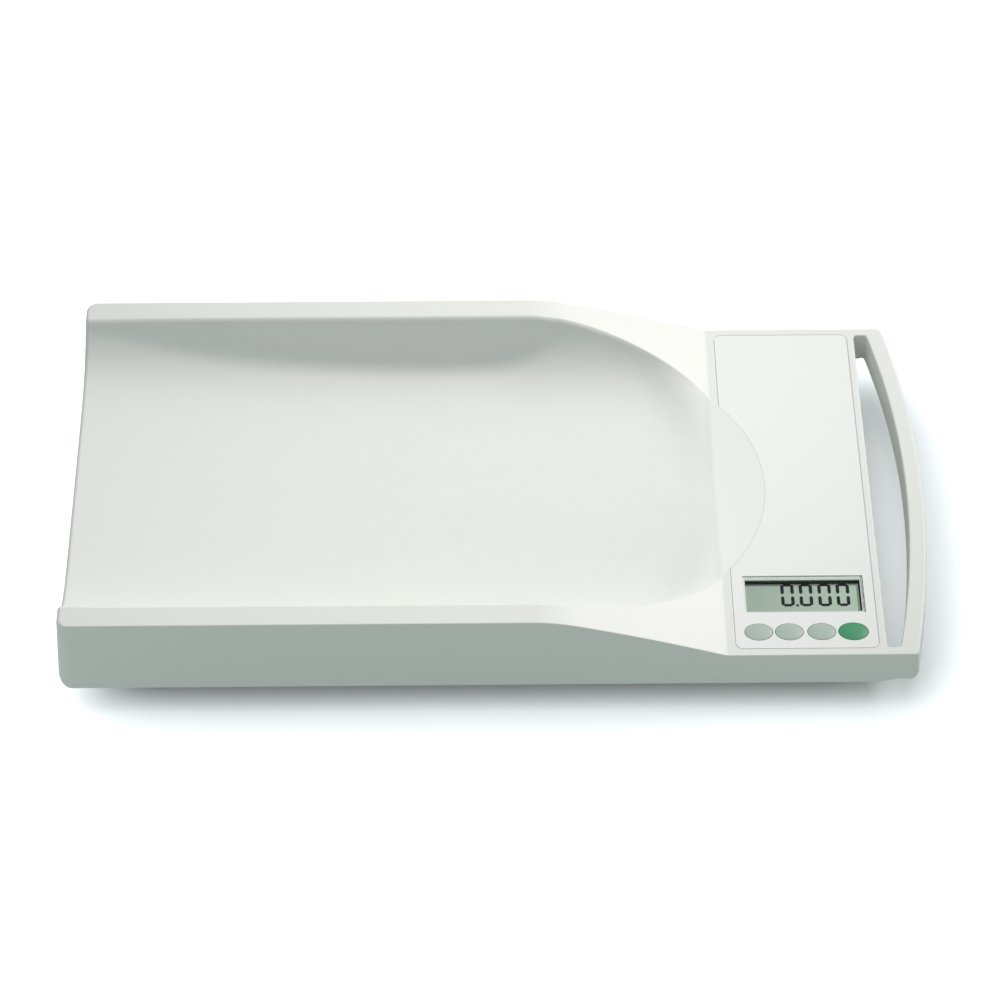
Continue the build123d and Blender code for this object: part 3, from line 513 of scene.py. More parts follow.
def window_outline(grow, corner_r=0.8):
    """Outline of the display window, grown."""
    (x0, x1), (y0, y1) = WINDOW_X, WINDOW_Y
    x0, x1, y0, y1, r = x0 - grow, x1 + grow, y0 - grow, y1 + grow, corner_r
    points = []
    corners = ((x0 + r, y0 + r, 180), (x1 - r, y0 + r, 270), (x1 - r, y1 - r, 0), (x0 + r, y1 - r, 90))
    for x, y, start in corners:
        points += [p[:2] for p in arc_points(x, y, r, start, start + 90, 4)]
    return points


def key_outline(name, grow, count=48):
    """Oval of one key, grown."""
    length, depth = START_KEY_SIZE if name == "start" else KEY_SIZE
    a, b = length / 2 + grow, depth / 2 + grow
    turns = [2 * math.pi * i / count for i in range(count)]
    return [(KEYS[name] + a * math.cos(t), KEY_Y + b * math.sin(t)) for t in turns]


def crease_y(x):
    """Distance from the centre line at which the cradle meets the rims or the shoulder."""
    if x <= RIM_END_X - RIM_END_ROUND:
        return RIM_HALF
    low, high = 40.0, RIM_HALF + 1
    for _ in range(40):
        middle = (low + high) / 2
        low, high = (middle, high) if step_between(x, middle) < 0 else (low, middle)
    return low


def turned(outward, angle, along):
    """Normal of a rounding: between outward and up, square to the edge's own direction."""
    normal = Vector((outward[0] * math.cos(angle), outward[1] * math.cos(angle), math.sin(angle)))
    along = Vector(along).normalized()
    return tuple((normal - along * normal.dot(along)).normalized())


def edge_directions(skin, ring):
    """Direction of a closed ring at each of its points."""
    spots = [Vector(skin.points[i]) for i in ring]
    return [spots[(i + 1) % len(spots)] - spots[i - 1] for i in range(len(spots))]


def rounded_rim(skin, outline, radii, height, steps, hole=False, draft=0.0):
    """Rounds an upper face down into a wall; returns its first and last ring."""
    outward = -1 if hole else 1
    starts = [(x - outward * r * nx, y - outward * r * ny) for (x, y, nx, ny), r in zip(outline, radii)]
    first = skin.ring(starts, height)
    tilts = []
    for (x, y), (_, _, nx, ny) in zip(starts, outline):
        along, across = slope_of(height, x, y)
        tilts.append(math.atan(outward * (along * nx + across * ny)))
    rings = [first]
    for k in range(1, steps + 1):
        ring = []
        for (x, y), (_, _, nx, ny), r, tilt, i in zip(starts, outline, radii, tilts, first):
            turn = mix(math.pi / 2 + tilt, math.atan(draft), k / steps)
            radius = r / (1 + math.sin(tilt))
            reach = outward * radius * (math.sin(tilt) + math.cos(turn))
            drop = radius * (math.cos(tilt) - math.sin(turn))
            ring.append(skin.add(x + reach * nx, y + reach * ny, skin.points[i][2] - drop))
        rings.append(ring)
    directions = edge_directions(skin, first)
    normals = []
    for k in range(steps + 1):
        row = []
        for (_, _, nx, ny), tilt, direction in zip(outline, tilts, directions):
            turn = mix(math.pi / 2 + tilt, math.atan(draft), k / steps)
            row.append(turned((outward * nx, outward * ny), turn, direction))
        normals.append(row)
    for k in range(steps):
        skin.strip(rings[k], rings[k + 1], normals[k], normals[k + 1], hole)
    return first, rings[-1]


def top_cover_mesh(material):
    """The whole cover: upper face, outer wall, slot, pocket for the overlay, and the inside."""
    skin = Skin()
    folds = [RIM_END_X + RIM_END_ROUND * share for share in spread(-1, 1, 0.25)]
    folds += [FOLD_X + FOLD_ROUND * share for share in spread(-1, 1, 0.5)]
    void_x = SLOT_X - WALL
    crease_steps = (-1, -0.5, 0, 0.5, 1)

    # stations along the scale, shared by the outer edge and the crease, so that the folds run straight
    stations = spread(LEFT_X + END_ROUND, RIM_END_X - RIM_END_ROUND, TRAY_STEP)[:-1]
    stations += spread(RIM_END_X + RIM_END_ROUND, FOLD_X - FOLD_ROUND, SHOULDER_STEP)[1:-1] + folds
    stations.sort()
    console_x = spread(FOLD_X + FOLD_ROUND, RISE_X, CONSOLE_STEP)[1:] + spread(RISE_X, void_x, 2.75)[1:]
    console_x += spread(void_x, APEX_X, 3)[1:]

    # rows of points by their distance from the crease, closer together where the wall is steep
    row_steps = [3.2, 4.6, 6.2, 7.8, 9.2, 10.6, 12, 13.4, 15, 17]
    row_steps += [19.5, 23, 27, 31, 36, 43, 52, 65, 85, 108]
    end_y = [0.0]
    for y in [RIM_HALF - d for d in row_steps] + [RIM_HALF + RIM_ROUND * s for s in crease_steps]:
        end_y += [y, -y]

    # outer edge, wall and lower edge
    outline = bowed_outline(
        LEFT_X, HALF_W, APEX_X, (END_CORNER_R, HANDLE_CORNER_R), end_y, stations[1:] + console_x
    )
    radii = [
        mix(mix(SIDE_ROUND, END_ROUND, max(0, -nx)), HANDLE_ROUND, max(0, nx)) for _, _, nx, _ in outline
    ]
    edge_ring, wall_top = rounded_rim(skin, leaning(outline, top_z), radii, top_z, 6, draft=DRAFT)
    wall_normals = [tuple(Vector((nx, ny, DRAFT)).normalized()) for _, _, nx, ny in outline]
    wall_foot = leaning(outline, lambda x, y: lower_edge_z(x))
    low_radii = [LOW_SIDE_ROUND * abs(ny) + LOW_HANDLE_ROUND * max(0, nx) ** 2 for _, _, nx, ny in outline]
    low_rings, low_steps = [], 8
    for k in range(low_steps + 1):
        ring = []
        for (x, y, nx, ny), r in zip(wall_foot, low_radii):
            inset = WALL * (1 - math.cos(math.pi / 2 * k / low_steps))
            px, py = x - inset * nx, y - inset * ny
            lift_z = r - math.sqrt(r**2 - (r - inset) ** 2) if inset < r else 0
            ring.append(skin.add(px, py, lower_edge_z(px) + lift_z))
        low_rings.append(ring)
    skin.strip(wall_top, low_rings[0], wall_normals, wall_normals)
    for upper, lower in zip(low_rings, low_rings[1:]):
        skin.strip(upper, lower)

    # hand slot
    slot = bowed_outline(
        SLOT_X, SLOT_HALF, SLOT_APEX_X, (SLOT_CORNER_R, SLOT_CORNER_R), spread(-150, 150, 10), []
    )
    slot_ring, slot_top = rounded_rim(skin, slot, [SLOT_ROUND] * len(slot), top_z, 5, hole=True)
    slot_normals = [(-nx, -ny, 0) for _, _, nx, ny in slot]
    slot_low = skin.ring([p[:2] for p in slot], lambda x, y: lower_edge_z(x) + SLOT_ROUND)
    slot_foot = skin.ring(
        [(x + SLOT_ROUND * nx, y + SLOT_ROUND * ny) for x, y, nx, ny in slot], lambda x, y: lower_edge_z(x)
    )
    skin.strip(slot_top, slot_low, slot_normals, slot_normals, hole=True)
    skin.strip(slot_low, slot_foot, hole=True)

    # pocket of the overlay, with the openings for the window and the keys
    ledge_z = CONSOLE_Z - OVERLAY_T
    ceiling = CONSOLE_Z - WALL
    pocket_rings = [
        skin.ring(pocket_outline(GROOVE + GROOVE_ROUND), CONSOLE_Z),
        skin.ring(pocket_outline(GROOVE + 0.3 * GROOVE_ROUND), CONSOLE_Z - 0.3 * GROOVE_ROUND),
        skin.ring(pocket_outline(GROOVE), CONSOLE_Z - GROOVE_ROUND),
        skin.ring(pocket_outline(GROOVE), ledge_z),
    ]
    for upper, lower in zip(pocket_rings, pocket_rings[1:]):
        skin.strip(upper, lower, hole=True)
    openings = [window_outline(-WINDOW_LAP)] + [key_outline(name, KEY_GAP) for name in KEYS]
    upper_openings = [skin.ring(o, ledge_z) for o in openings]
    lower_openings = [skin.ring(o, ceiling) for o in openings]
    for upper, lower in zip(upper_openings, lower_openings):
        skin.strip(upper, lower, hole=True)
    skin.fill([pocket_rings[-1], *upper_openings])

    # upper face: lines along the crease between cradle and rims, lines along the two folds, points between
    edge_at = {(round(x, 3), ny): i for (x, _, _, ny), i in zip(outline, edge_ring)}
    end_at = {round(y, 3): i for (_, y, nx, _), i in zip(outline, edge_ring) if nx == -1}
    lines, free = [], []
    creases = {x: crease_y(x) for x in stations}
    for side in (1, -1):
        for share in crease_steps:
            line = [end_at[round(side * (RIM_HALF + RIM_ROUND * share), 3)]]
            for before, x, after in zip(stations, stations[1:], stations[2:] + [stations[-1] + FOLD_ROUND]):
                swing = (crease_y(after) - creases[before]) / (after - before)
                y = side * (creases[x] + crease_round(x) * share * math.hypot(1, swing))
                line.append(skin.add(x, y, top_z(x, y)))
            lines.append(line)
    dish_start = math.degrees(math.acos((stations[-1] + 1.6 - DISH_X) / DISH_R))
    for number, share in enumerate(crease_steps):
        radius = DISH_R + DISH_ROUND * share
        arc = [p[:2] for p in arc_points(DISH_X, 0, radius, dish_start, -dish_start, 40)]
        ring = skin.ring(arc, top_z)
        lines.append([lines[number][-1], *ring, lines[number + len(crease_steps)][-1]])
    for x in folds:
        at = stations.index(x)
        for side, lead in ((1, len(crease_steps) - 1), (-1, 2 * len(crease_steps) - 1)):
            lines.append([lines[lead][at], edge_at[(round(x, 3), side)]])
    for x in stations[1:]:
        for y in [0.0] + [creases[x] - d for d in row_steps if creases[x] - d > 6]:
            free += [skin.add(x, y, top_z(x, y))] + ([skin.add(x, -y, top_z(x, -y))] if y else [])
    for x in spread(FOLD_X + 5, DISH_X + DISH_R - 5, 5):
        half = math.sqrt((DISH_R - 2.5) ** 2 - (x - DISH_X) ** 2)
        free += [skin.add(x, y, top_z(x, y)) for y in spread(-half, half, 6)]

    def upper_normal(i):
        along, across = slope_of(top_z, *skin.points[i][:2])
        return tuple(Vector((-along, -across, 1)).normalized())

    skin.fill([edge_ring, slot_ring, pocket_rings[0]], lines, free, normal=upper_normal)

    # inside: the hollow's wall and ceiling, and the flat underside of the handle
    first = next(i for i, (x, y, _, ny) in enumerate(outline) if ny == -1 and abs(x - void_x) < 1e-6)
    last = next(i for i, (x, y, _, ny) in enumerate(outline) if ny == 1 and abs(x - void_x) < 1e-6)
    foot = low_rings[-1]
    void_half = HALF_W - WALL
    wall_y = spread(-void_half, void_half, 12)[1:-1]
    void_wall = [skin.add(void_x, y, lower_edge_z(void_x)) for y in wall_y]
    void_foot = foot[last:] + foot[: first + 1] + void_wall
    void_lean = wall_normals[last:] + wall_normals[: first + 1] + [(0, 0, 0)] * len(void_wall)
    head_spots = []
    for i, (nx, ny, _) in zip(void_foot, void_lean):
        x, y, z = skin.points[i]
        inward = (ceiling_z(x, y) - z) * DRAFT
        head_spots.append((x - inward * nx, y - inward * ny))
    void_head = skin.ring(head_spots, ceiling_z)
    skin.strip(void_foot, void_head)
    inner_lines, inner_free = [], []
    for side in (1, -1):
        for offset in (-3.0, 0.0, 3.0):
            spots = [(x, side * (creases[x] + offset)) for x in stations[1:]]
            inner_lines.append(skin.ring(spots, ceiling_z))
    for x in stations[1:]:
        for d in row_steps[2::2]:
            if creases[x] - d > 6:
                inner_free += skin.ring([(x, creases[x] - d), (x, d - creases[x])], ceiling_z)
    skin.fill([void_head, *lower_openings], inner_lines, inner_free, down=True)
    skin.fill([foot[first : last + 1] + void_wall[::-1], slot_foot], down=True)

    # screw bosses
    for x, y, foot_z, outer_r, bore_r in (
        [(x, side * BOSS_Y, FLANGE_TOP_Z, BOSS_R, BOSS_BORE_R) for x in BOSS_X for side in (1, -1)]
        + [(x, y, BOARD_TOP_Z, BOARD_BOSS_R, BOARD_BORE_R) for x, y in BOARD_BOSSES]
    ):
        head_z = ceiling_z(x, y) + 0.5
        around = arc_points(x, y, 1, 0, 345, 23)
        outer = [(x + outer_r * nx, y + outer_r * ny) for _, _, nx, ny in around]
        bore = [(x + bore_r * nx, y + bore_r * ny) for _, _, nx, ny in around]
        outer_normals = [(nx, ny, 0) for _, _, nx, ny in around]
        bore_normals = [(-nx, -ny, 0) for _, _, nx, ny in around]
        outer_head, outer_foot = skin.ring(outer, head_z), skin.ring(outer, foot_z)
        bore_head, bore_foot = skin.ring(bore, head_z), skin.ring(bore, foot_z)
        skin.strip(outer_head, outer_foot, outer_normals, outer_normals)
        skin.strip(outer_foot, bore_foot)
        skin.strip(bore_foot, bore_head, bore_normals, bore_normals)
        skin.strip(bore_head, outer_head)
    return skin.build("cover_shell", material)


def two_colours(tree, first, second):
    """A node that passes from one colour to the other."""
    blend = add_node(tree, "Mix")
    blend.data_type = "RGBA"
    blend.inputs["A"].default_value = (*first, 1)
    blend.inputs["B"].default_value = (*second, 1)
    return blend


def grained_plastic(name, colour, roughness, grain_mm, relief_mm, mottle=0.012, patch_mm=9.0):
    """Moulded plastic: an even colour with faint patches, and a fine eroded grain as relief."""
    material = bpy.data.materials.new(name)
    material.use_nodes = True
    tree = material.node_tree
    shader = tree.nodes["Principled BSDF"]
    shader.inputs["Specular IOR Level"].default_value = 0.35
    darker, lighter = ([c * share for c in colour] for share in (1 - mottle, 1 + mottle))
    place = add_node(tree, "TexCoord")
    grain = add_node(tree, "TexNoise", {"Scale": 1 / (grain_mm * MM), "Detail": 3})
    patches = add_node(tree, "TexNoise", {"Scale": 1 / (patch_mm * MM), "Detail": 4})
    bump = add_node(tree, "Bump", {"Distance": relief_mm * MM})
    tint = two_colours(tree, darker, lighter)
    shine = add_node(tree, "MapRange", {"To Min": roughness - 0.06, "To Max": roughness + 0.06})
    wire(
        tree,
        (place, "Object", grain, "Vector"),
        (place, "Object", patches, "Vector"),
        (grain, "Fac", bump, "Height"),
        (bump, "Normal", shader, "Normal"),
        (patches, "Fac", tint, "Factor"),
        (tint, "Result", shader, "Base Color"),
        (grain, "Fac", shine, "Value"),
        (shine, "Result", shader, "Roughness"),
    )
    return material


def whiter_dish(material, colour):
    """Paints the dish beyond the fold lighter: painted light, for the brighter light that falls on the
    dish.
    """
    tree = material.node_tree
    place = add_node(tree, "TexCoord")
    plan = add_node(tree, "VectorMath", {1: (1, 1, 0)}, "MULTIPLY")
    reach = add_node(tree, "VectorMath", {1: (DISH_X * MM, 0, 0)}, "DISTANCE")
    rim = {"From Min": (DISH_R + 0.4) * MM, "From Max": (DISH_R - 0.4) * MM}
    within = add_node(tree, "MapRange", rim)
    axes = add_node(tree, "SeparateXYZ")
    fold = {"From Min": (FOLD_X - 1.5) * MM, "From Max": (FOLD_X + 1.5) * MM}
    beyond = add_node(tree, "MapRange", fold)
    both = add_node(tree, "Math", operation="MULTIPLY")
    lighter = two_colours(tree, colour, colour)
    shader = tree.nodes["Principled BSDF"]
    tree.links.new(shader.inputs["Base Color"].links[0].from_socket, lighter.inputs["A"])
    wire(
        tree,
        (place, "Object", plan, 0),
        (plan, "Vector", reach, 0),
        (reach, "Value", within, "Value"),
        (place, "Object", axes, "Vector"),
        (axes, "X", beyond, "Value"),
        (within, "Result", both, 0),
        (beyond, "Result", both, 1),
        (both, "Value", lighter, "Factor"),
        (lighter, "Result", shader, "Base Color"),
    )


cream_abs = grained_plastic("cream_abs", (0.79, 0.79, 0.76), 0.5, 0.55, 0.05)
# the dish beyond the fold gets a lighter colour: painted light on the dish
whiter_dish(cream_abs, (0.87, 0.865, 0.86))
cover = top_cover_mesh(cream_abs)
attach(cover, "scale_body")
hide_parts("top_cover")


# ------------------------------------------------------------------ keypad overlay
# A thin plate of smooth white polystyrene, die-cut and glued into its pocket in the console,
# with a fine groove left round it. Like most of the pieces that follow it keeps the mesh of the frame.
def finish(material, edge_mm, *names):
    """Gives frame nodes their material and rounds their sharp edges a little."""
    for name in names:
        piece = nodes[name]
        piece.data.materials.clear()
        piece.data.materials.append(material)
        if edge_mm:
            bevel = piece.modifiers.new("edge", "BEVEL")
            bevel.width = edge_mm * MM
            bevel.segments = 2
            bevel.limit_method = "ANGLE"
            bevel.angle_limit = math.radians(40)
            bevel.harden_normals = True


overlay_white = grained_plastic("overlay_white", (0.85, 0.845, 0.835), 0.36, 1.1, 0.012, 0.008, 14.0)
finish(overlay_white, 0.15, "keypad_overlay")


# ------------------------------------------------------------------ display window
# A flat pane of clear acrylic that lies flush in the overlay, over the opening of the cover.
# A pale grey-green band lies under its back edge and its end towards the handle, over the walls of the
# opening there: painted light, where those walls would show in shade.
BORDER_BACK, BORDER_END = 1.9, 0.8
BORDER_GAP = 0.1
BORDER_Z = (52.12, 52.18)

window_clear = bpy.data.materials.new("window_clear")
window_clear.use_nodes = True
window_tree = window_clear.node_tree
window_tree.nodes.remove(window_tree.nodes["Principled BSDF"])
through = add_node(window_tree, "BsdfTransparent", {"Color": (0.955, 0.975, 0.96, 1)})
gloss = add_node(window_tree, "BsdfGlossy")
dust = add_node(window_tree, "TexNoise", {"Scale": 900})
dust_shine = add_node(window_tree, "MapRange", {"To Min": 0.03, "To Max": 0.12})
rays = add_node(window_tree, "Fresnel", {"IOR": 1.25})
side = add_node(window_tree, "NewGeometry")
front = add_node(window_tree, "Math", {0: 1}, "SUBTRACT")
front_rays = add_node(window_tree, "Math", operation="MULTIPLY")
pane = add_node(window_tree, "MixShader")
wire(
    window_tree,
    (dust, "Fac", dust_shine, "Value"),
    (dust_shine, "Result", gloss, "Roughness"),
    (side, "Backfacing", front, 1),
    (rays, "Fac", front_rays, 0),
    (front, "Value", front_rays, 1),
    (front_rays, "Value", pane, "Fac"),
    (through, "BSDF", pane, 1),
    (gloss, "BSDF", pane, 2),
    (pane, "Shader", window_tree.nodes["Material Output"], "Surface"),
)
finish(window_clear, 0, "display_window")


def printed_strip_mesh(name, outline, z, material):
    """A flat thin sheet, given by its outline and its two heights."""
    skin = Skin()
    lower, upper = (skin.ring(outline, height) for height in z)
    skin.fill([upper])
    skin.fill([lower], down=True)
    skin.strip(upper, lower)
    return skin.build(name, material)


# pale band over the opening's back and end walls: painted light in place of their shade
painted_light_grey = grained_plastic("painted_light_grey", (0.66, 0.72, 0.69), 0.5, 0.4, 0.004, 0.03, 3.0)
border_inset = WINDOW_LAP + BORDER_GAP
border_x0, border_x1 = WINDOW_X[0] + border_inset, WINDOW_X[1] - border_inset
border_y0, border_y1 = WINDOW_Y[0] + border_inset, WINDOW_Y[1] - border_inset
border_outline = [
    (border_x0, border_y1 - BORDER_BACK),
    (border_x1 - BORDER_END, border_y1 - BORDER_BACK),
    (border_x1 - BORDER_END, border_y0),
    (border_x1, border_y0),
    (border_x1, border_y1),
    (border_x0, border_y1),
]
window_border = printed_strip_mesh("window_border", border_outline, BORDER_Z, painted_light_grey)
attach(window_border, "scale_body")


# ------------------------------------------------------------------ display
# A reflective LCD: two glass plates over a grey-green reflector, whose colour is painted lighter towards
# the handle as a painted reflection.
# Its digits are black, and a black strip lies along its back edge and its end towards the handle.
LCD_TOP_Z = 48.8
# LCD_LIGHT is the display's colour at the handle end, lighter by the painted reflection
LCD_DARK, LCD_LIGHT = (0.385, 0.42, 0.395), (0.53, 0.62, 0.53)
BLACK_STRIP_X = (168.5, 250.6)
BLACK_STRIP_Y = (-91.8, -88.0)
BLACK_STRIP_END_X, BLACK_STRIP_END_Y = 248.0, -116.5
BLACK_STRIP_Z = (LCD_TOP_Z + 0.01, LCD_TOP_Z + 0.12)

lcd_glass = bpy.data.materials.new("lcd_glass")
lcd_glass.use_nodes = True
lcd_tree = lcd_glass.node_tree
lcd_shader = lcd_tree.nodes["Principled BSDF"]
lcd_shader.inputs["Roughness"].default_value = 0.22
lcd_shader.inputs["Specular IOR Level"].default_value = 0.3
lcd_place = add_node(lcd_tree, "TexCoord")
lcd_axes = add_node(lcd_tree, "SeparateXYZ")
lcd_cells = add_node(lcd_tree, "TexNoise", {"Scale": 160})
# faint random cells, plus a painted reflection that lightens the display along x towards the handle
lcd_cells_and_painted_sheen = add_node(lcd_tree, "Math", {1: 0.25}, "MULTIPLY_ADD")
lcd_tone = two_colours(lcd_tree, LCD_DARK, LCD_LIGHT)
wire(
    lcd_tree,
    (lcd_place, "Generated", lcd_axes, "Vector"),
    (lcd_cells, "Fac", lcd_cells_and_painted_sheen, 0),
    (lcd_axes, "X", lcd_cells_and_painted_sheen, 2),
    (lcd_cells_and_painted_sheen, "Value", lcd_tone, "Factor"),
    (lcd_tone, "Result", lcd_shader, "Base Color"),
)
finish(lcd_glass, 0.2, "lcd_panel")

lcd_black = grained_plastic("lcd_black", (0.012, 0.012, 0.022), 0.6, 0.4, 0.004, 0.1, 3.0)
lcd_black.node_tree.nodes["Principled BSDF"].inputs["Specular IOR Level"].default_value = 0.05
finish(lcd_black, 0, "lcd_segments")

black_strip_outline = [
    (BLACK_STRIP_X[0], BLACK_STRIP_Y[0]),
    (BLACK_STRIP_END_X, BLACK_STRIP_Y[0]),
    (BLACK_STRIP_END_X, BLACK_STRIP_END_Y),
    (BLACK_STRIP_X[1], BLACK_STRIP_END_Y),
    (BLACK_STRIP_X[1], BLACK_STRIP_Y[1]),
    (BLACK_STRIP_X[0], BLACK_STRIP_Y[1]),
]
lcd_black_strip = printed_strip_mesh("lcd_black_strip", black_strip_outline, BLACK_STRIP_Z, lcd_black)
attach(lcd_black_strip, "scale_body")

foam_grey = grained_plastic("foam_grey", (0.72, 0.75, 0.72), 0.9, 0.5, 0.1, 0.05)
finish(foam_grey, 0, "display_gasket")
contact_rubber = grained_plastic("contact_rubber", (0.5, 0.5, 0.56), 0.7, 0.3, 0.05, 0.25, 0.4)
finish(contact_rubber, 0.1, "zebra_strips")


# ------------------------------------------------------------------ keys
# Four oval caps of satin silicone-coated ABS with a gently domed top, three grey-green and one green.
# A flange inside the cover stops each cap, and a short stem under it reaches the plunger.
KEY_TOP_Z, KEY_RIM_Z = 53.85, 53.1
KEY_FLANGE_Z = (48.4, 49.8)
KEY_STEM_R, KEY_STEM_Z = 3.0, 46.0
KEY_FLANGE_GROW = 0.7
KEY_DOME_STEPS = 9
KEY_DOME_POWER = 2.6  # the dome is nearly flat on top and falls off near its rim

key_grey = grained_plastic("key_grey", (0.42, 0.50, 0.445), 0.42, 0.35, 0.02, 0.03, 2.5)
key_green = grained_plastic("key_green", (0.05, 0.285, 0.135), 0.42, 0.35, 0.02, 0.03, 2.5)


def key_mesh(name, material):
    """Dome, side, flange and stem of one key, as rings from the middle of the dome down."""
    skin = Skin()
    length, depth = START_KEY_SIZE if name == "start" else KEY_SIZE
    middle = KEYS[name]
    edge = key_outline(name, 0)

    def oval(share, z):
        return skin.ring([(middle + (x - middle) * share, KEY_Y + (y - KEY_Y) * share) for x, y in edge], z)

    stem_share = 2 * KEY_STEM_R / length
    rows = []
    for k in range(1, KEY_DOME_STEPS + 1):
        share = math.sin(math.pi / 2 * k / KEY_DOME_STEPS)
        rows.append((share, KEY_RIM_Z + (KEY_TOP_Z - KEY_RIM_Z) * (1 - share**KEY_DOME_POWER)))
    rows[-1] = (0.985, KEY_RIM_Z + 0.06)
    rows += [(0.997, KEY_RIM_Z - 0.08), (1.0, KEY_RIM_Z - 0.3), (1.0, KEY_FLANGE_Z[1])]
    flange = 1 + 2 * KEY_FLANGE_GROW / length
    rows += [(flange, KEY_FLANGE_Z[1]), (flange, KEY_FLANGE_Z[0])]
    rows += [(stem_share, KEY_FLANGE_Z[0]), (stem_share, KEY_STEM_Z)]
    rings = [oval(share, z) for share, z in rows]
    top = skin.add(middle, KEY_Y, KEY_TOP_Z)
    normals = []
    for k, ring in enumerate(rings):
        before, after = rows[max(k - 1, 0)], rows[min(k + 1, len(rows) - 1)]
        fall = math.atan2(before[1] - after[1], (after[0] - before[0]) * length / 2)
        row = []
        for i in ring:
            x, y, _ = skin.points[i]
            out = Vector(((x - middle) / length**2, (y - KEY_Y) / depth**2, 0)).normalized()
            row.append(tuple((out * math.sin(fall) + Vector((0, 0, math.cos(fall)))).normalized()))
        normals.append(row)
    count = len(edge)
    for i in range(count):
        j = (i + 1) % count
        skin.face([top, rings[0][i], rings[0][j]], [(0, 0, 1), normals[0][i], normals[0][j]])
    for k in range(len(rings) - 1):
        smooth_rows = k < KEY_DOME_STEPS + 1
        skin.strip(rings[k], rings[k + 1], *((normals[k], normals[k + 1]) if smooth_rows else (None, None)))
    skin.face(rings[-1][::-1])
    return skin.build(name + "_key", material)


for key in KEYS:
    cap = key_mesh(key, key_green if key == "start" else key_grey)
    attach(cap, "key_" + key + "_body")
    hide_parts("key_" + key)

switch_plastic = grained_plastic("switch_plastic", (0.05, 0.05, 0.055), 0.45, 0.4, 0.02)
finish(switch_plastic, 0.15, "key_switches", "lcd_holder")
finish(switch_plastic, 0.1, *["plunger_" + key for key in KEYS])


# ------------------------------------------------------------------ circuit board
# A single-sided glass-fibre board under green solder resist, with its chips, sockets and screws below.
def metal(name, colour, roughness, streak_mm=(0.15, 3.0)):
    """Plated or turned metal with fine streaks in its shine."""
    material = bpy.data.materials.new(name)
    material.use_nodes = True
    tree = material.node_tree
    shader = tree.nodes["Principled BSDF"]
    shader.inputs["Base Color"].default_value = (*colour, 1)
    shader.inputs["Metallic"].default_value = 1
    fine, long = (1 / (step * MM) for step in streak_mm)
    place = add_node(tree, "TexCoord")
    stretch = add_node(tree, "Mapping", {"Scale": (long, fine, fine)})
    streaks = add_node(tree, "TexNoise", {"Scale": 1, "Detail": 3})
    shine = add_node(tree, "MapRange", {"To Min": roughness - 0.1, "To Max": roughness + 0.1})
    wire(
        tree,
        (place, "Object", stretch, "Vector"),
        (stretch, "Vector", streaks, "Vector"),
        (streaks, "Fac", shine, "Value"),
        (shine, "Result", shader, "Roughness"),
    )
    return material


board_green = grained_plastic("board_green", (0.02, 0.16, 0.06), 0.32, 1.6, 0.03, 0.18, 1.8)
finish(board_green, 0, "main_board")
chip_black = grained_plastic("chip_black", (0.025, 0.025, 0.027), 0.6, 0.2, 0.02, 0.1, 1.0)
finish(chip_black, 0.15, "board_chips")
nylon_white = grained_plastic("nylon_white", (0.78, 0.75, 0.66), 0.45, 0.5, 0.02)
finish(nylon_white, 0.15, "board_connectors")
screw_steel = metal("screw_steel", (0.62, 0.62, 0.61), 0.32)
finish(screw_steel, 0.12, "board_screws", "housing_screws", "cell_screws")
finish(screw_steel, 0.1, "hinge_pins")


# ------------------------------------------------------------------ base
# The base is a moulded pan of light grey ABS with a fine grain, screwed up into the cover's bosses.
base_plastic = grained_plastic("base_plastic", (0.62, 0.63, 0.61), 0.55, 0.5, 0.05)
finish(base_plastic, 0.35, "bottom_cover", "battery_door", "battery_box")


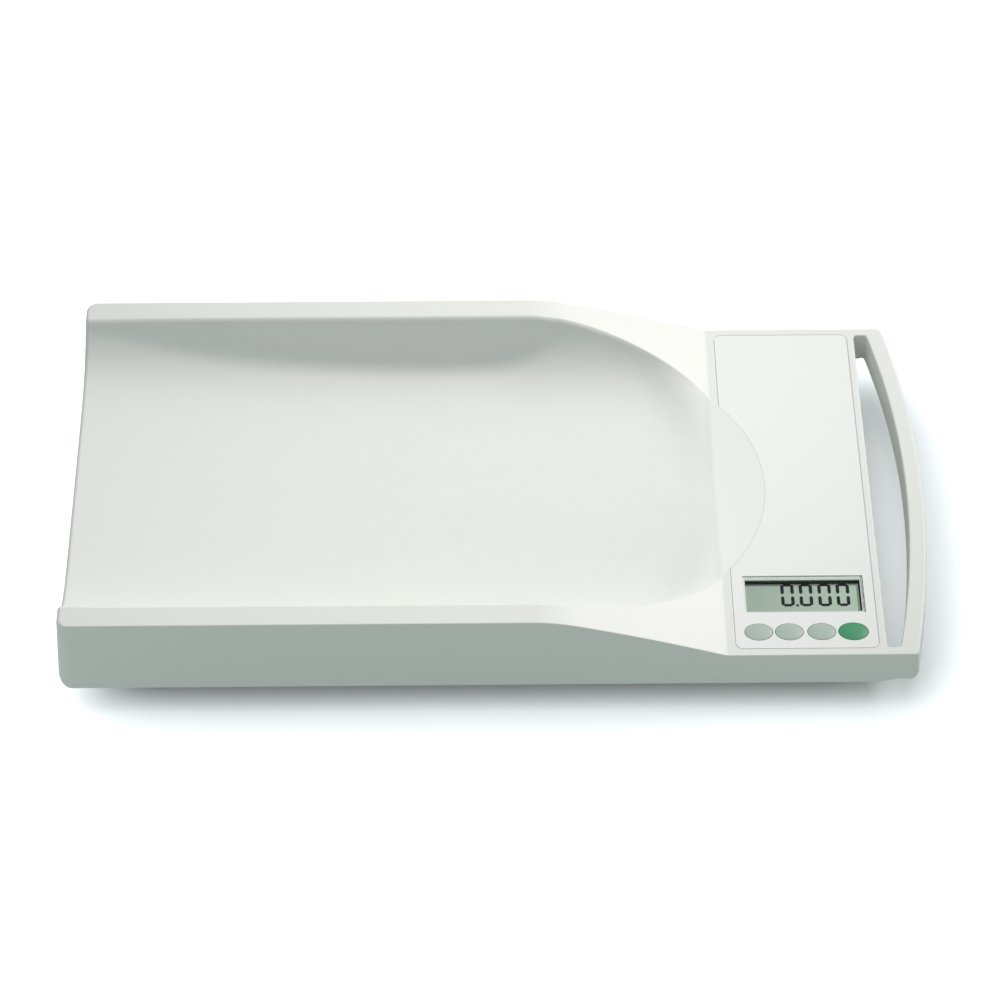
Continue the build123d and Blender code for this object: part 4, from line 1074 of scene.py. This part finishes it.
# ------------------------------------------------------------------ load cells and feet
# Stamped and nickel-plated steel plates, each with two foil strain gauges and a turned brass bush
# for the screw of a levelling foot. The feet are black nylon on soft rubber pads.
CORNERS = ("front_left", "front_right", "back_left", "back_right")
cell_steel = metal("cell_steel", (0.56, 0.57, 0.58), 0.34, (0.25, 6.0))
finish(cell_steel, 0.15, *["load_cell_" + corner for corner in CORNERS])
bush_brass = metal("bush_brass", (0.72, 0.52, 0.24), 0.3)
finish(bush_brass, 0.15, *["foot_bush_" + corner for corner in CORNERS])
gauge_film = grained_plastic("gauge_film", (0.50, 0.27, 0.07), 0.3, 0.3, 0.02, 0.25, 0.5)
finish(gauge_film, 0, "strain_gauges")
foot_plastic = grained_plastic("foot_plastic", (0.05, 0.05, 0.055), 0.45, 0.4, 0.03)
finish(foot_plastic, 0.2, *["foot_screw_" + corner for corner in CORNERS])
pad_rubber = grained_plastic("pad_rubber", (0.035, 0.035, 0.035), 0.85, 0.6, 0.08, 0.08)
finish(pad_rubber, 0.4, *["foot_pad_" + corner for corner in CORNERS])
lead_sheath = grained_plastic("lead_sheath", (0.09, 0.09, 0.10), 0.5, 0.8, 0.03)
finish(lead_sheath, 0, *["cell_lead_" + corner for corner in CORNERS])


# ------------------------------------------------------------------ batteries
# Six AA cells in plain sleeves with a paler band at one end, between nickel-plated springs and plates.
CAN_DARK, CAN_PALE = (0.06, 0.08, 0.11), (0.45, 0.46, 0.48)
CAN_BAND = 0.22  # share of the length that the paler band takes

battery_can = bpy.data.materials.new("battery_can")
battery_can.use_nodes = True
can_tree = battery_can.node_tree
can_shader = can_tree.nodes["Principled BSDF"]
can_shader.inputs["Roughness"].default_value = 0.28
can_shader.inputs["Metallic"].default_value = 0.35
can_place = add_node(can_tree, "TexCoord")
can_axes = add_node(can_tree, "SeparateXYZ")
can_band = add_node(can_tree, "Math", {1: 1 - CAN_BAND}, "GREATER_THAN")
can_colours = two_colours(can_tree, CAN_DARK, CAN_PALE)
wire(
    can_tree,
    (can_place, "Generated", can_axes, "Vector"),
    (can_axes, "Y", can_band, 0),
    (can_band, "Value", can_colours, "Factor"),
    (can_colours, "Result", can_shader, "Base Color"),
)
finish(battery_can, 0, *["battery_" + str(number) for number in range(1, 7)])
contact_nickel = metal("contact_nickel", (0.66, 0.63, 0.57), 0.28)
finish(contact_nickel, 0, "battery_contacts")
finish(lead_sheath, 0, "battery_leads")
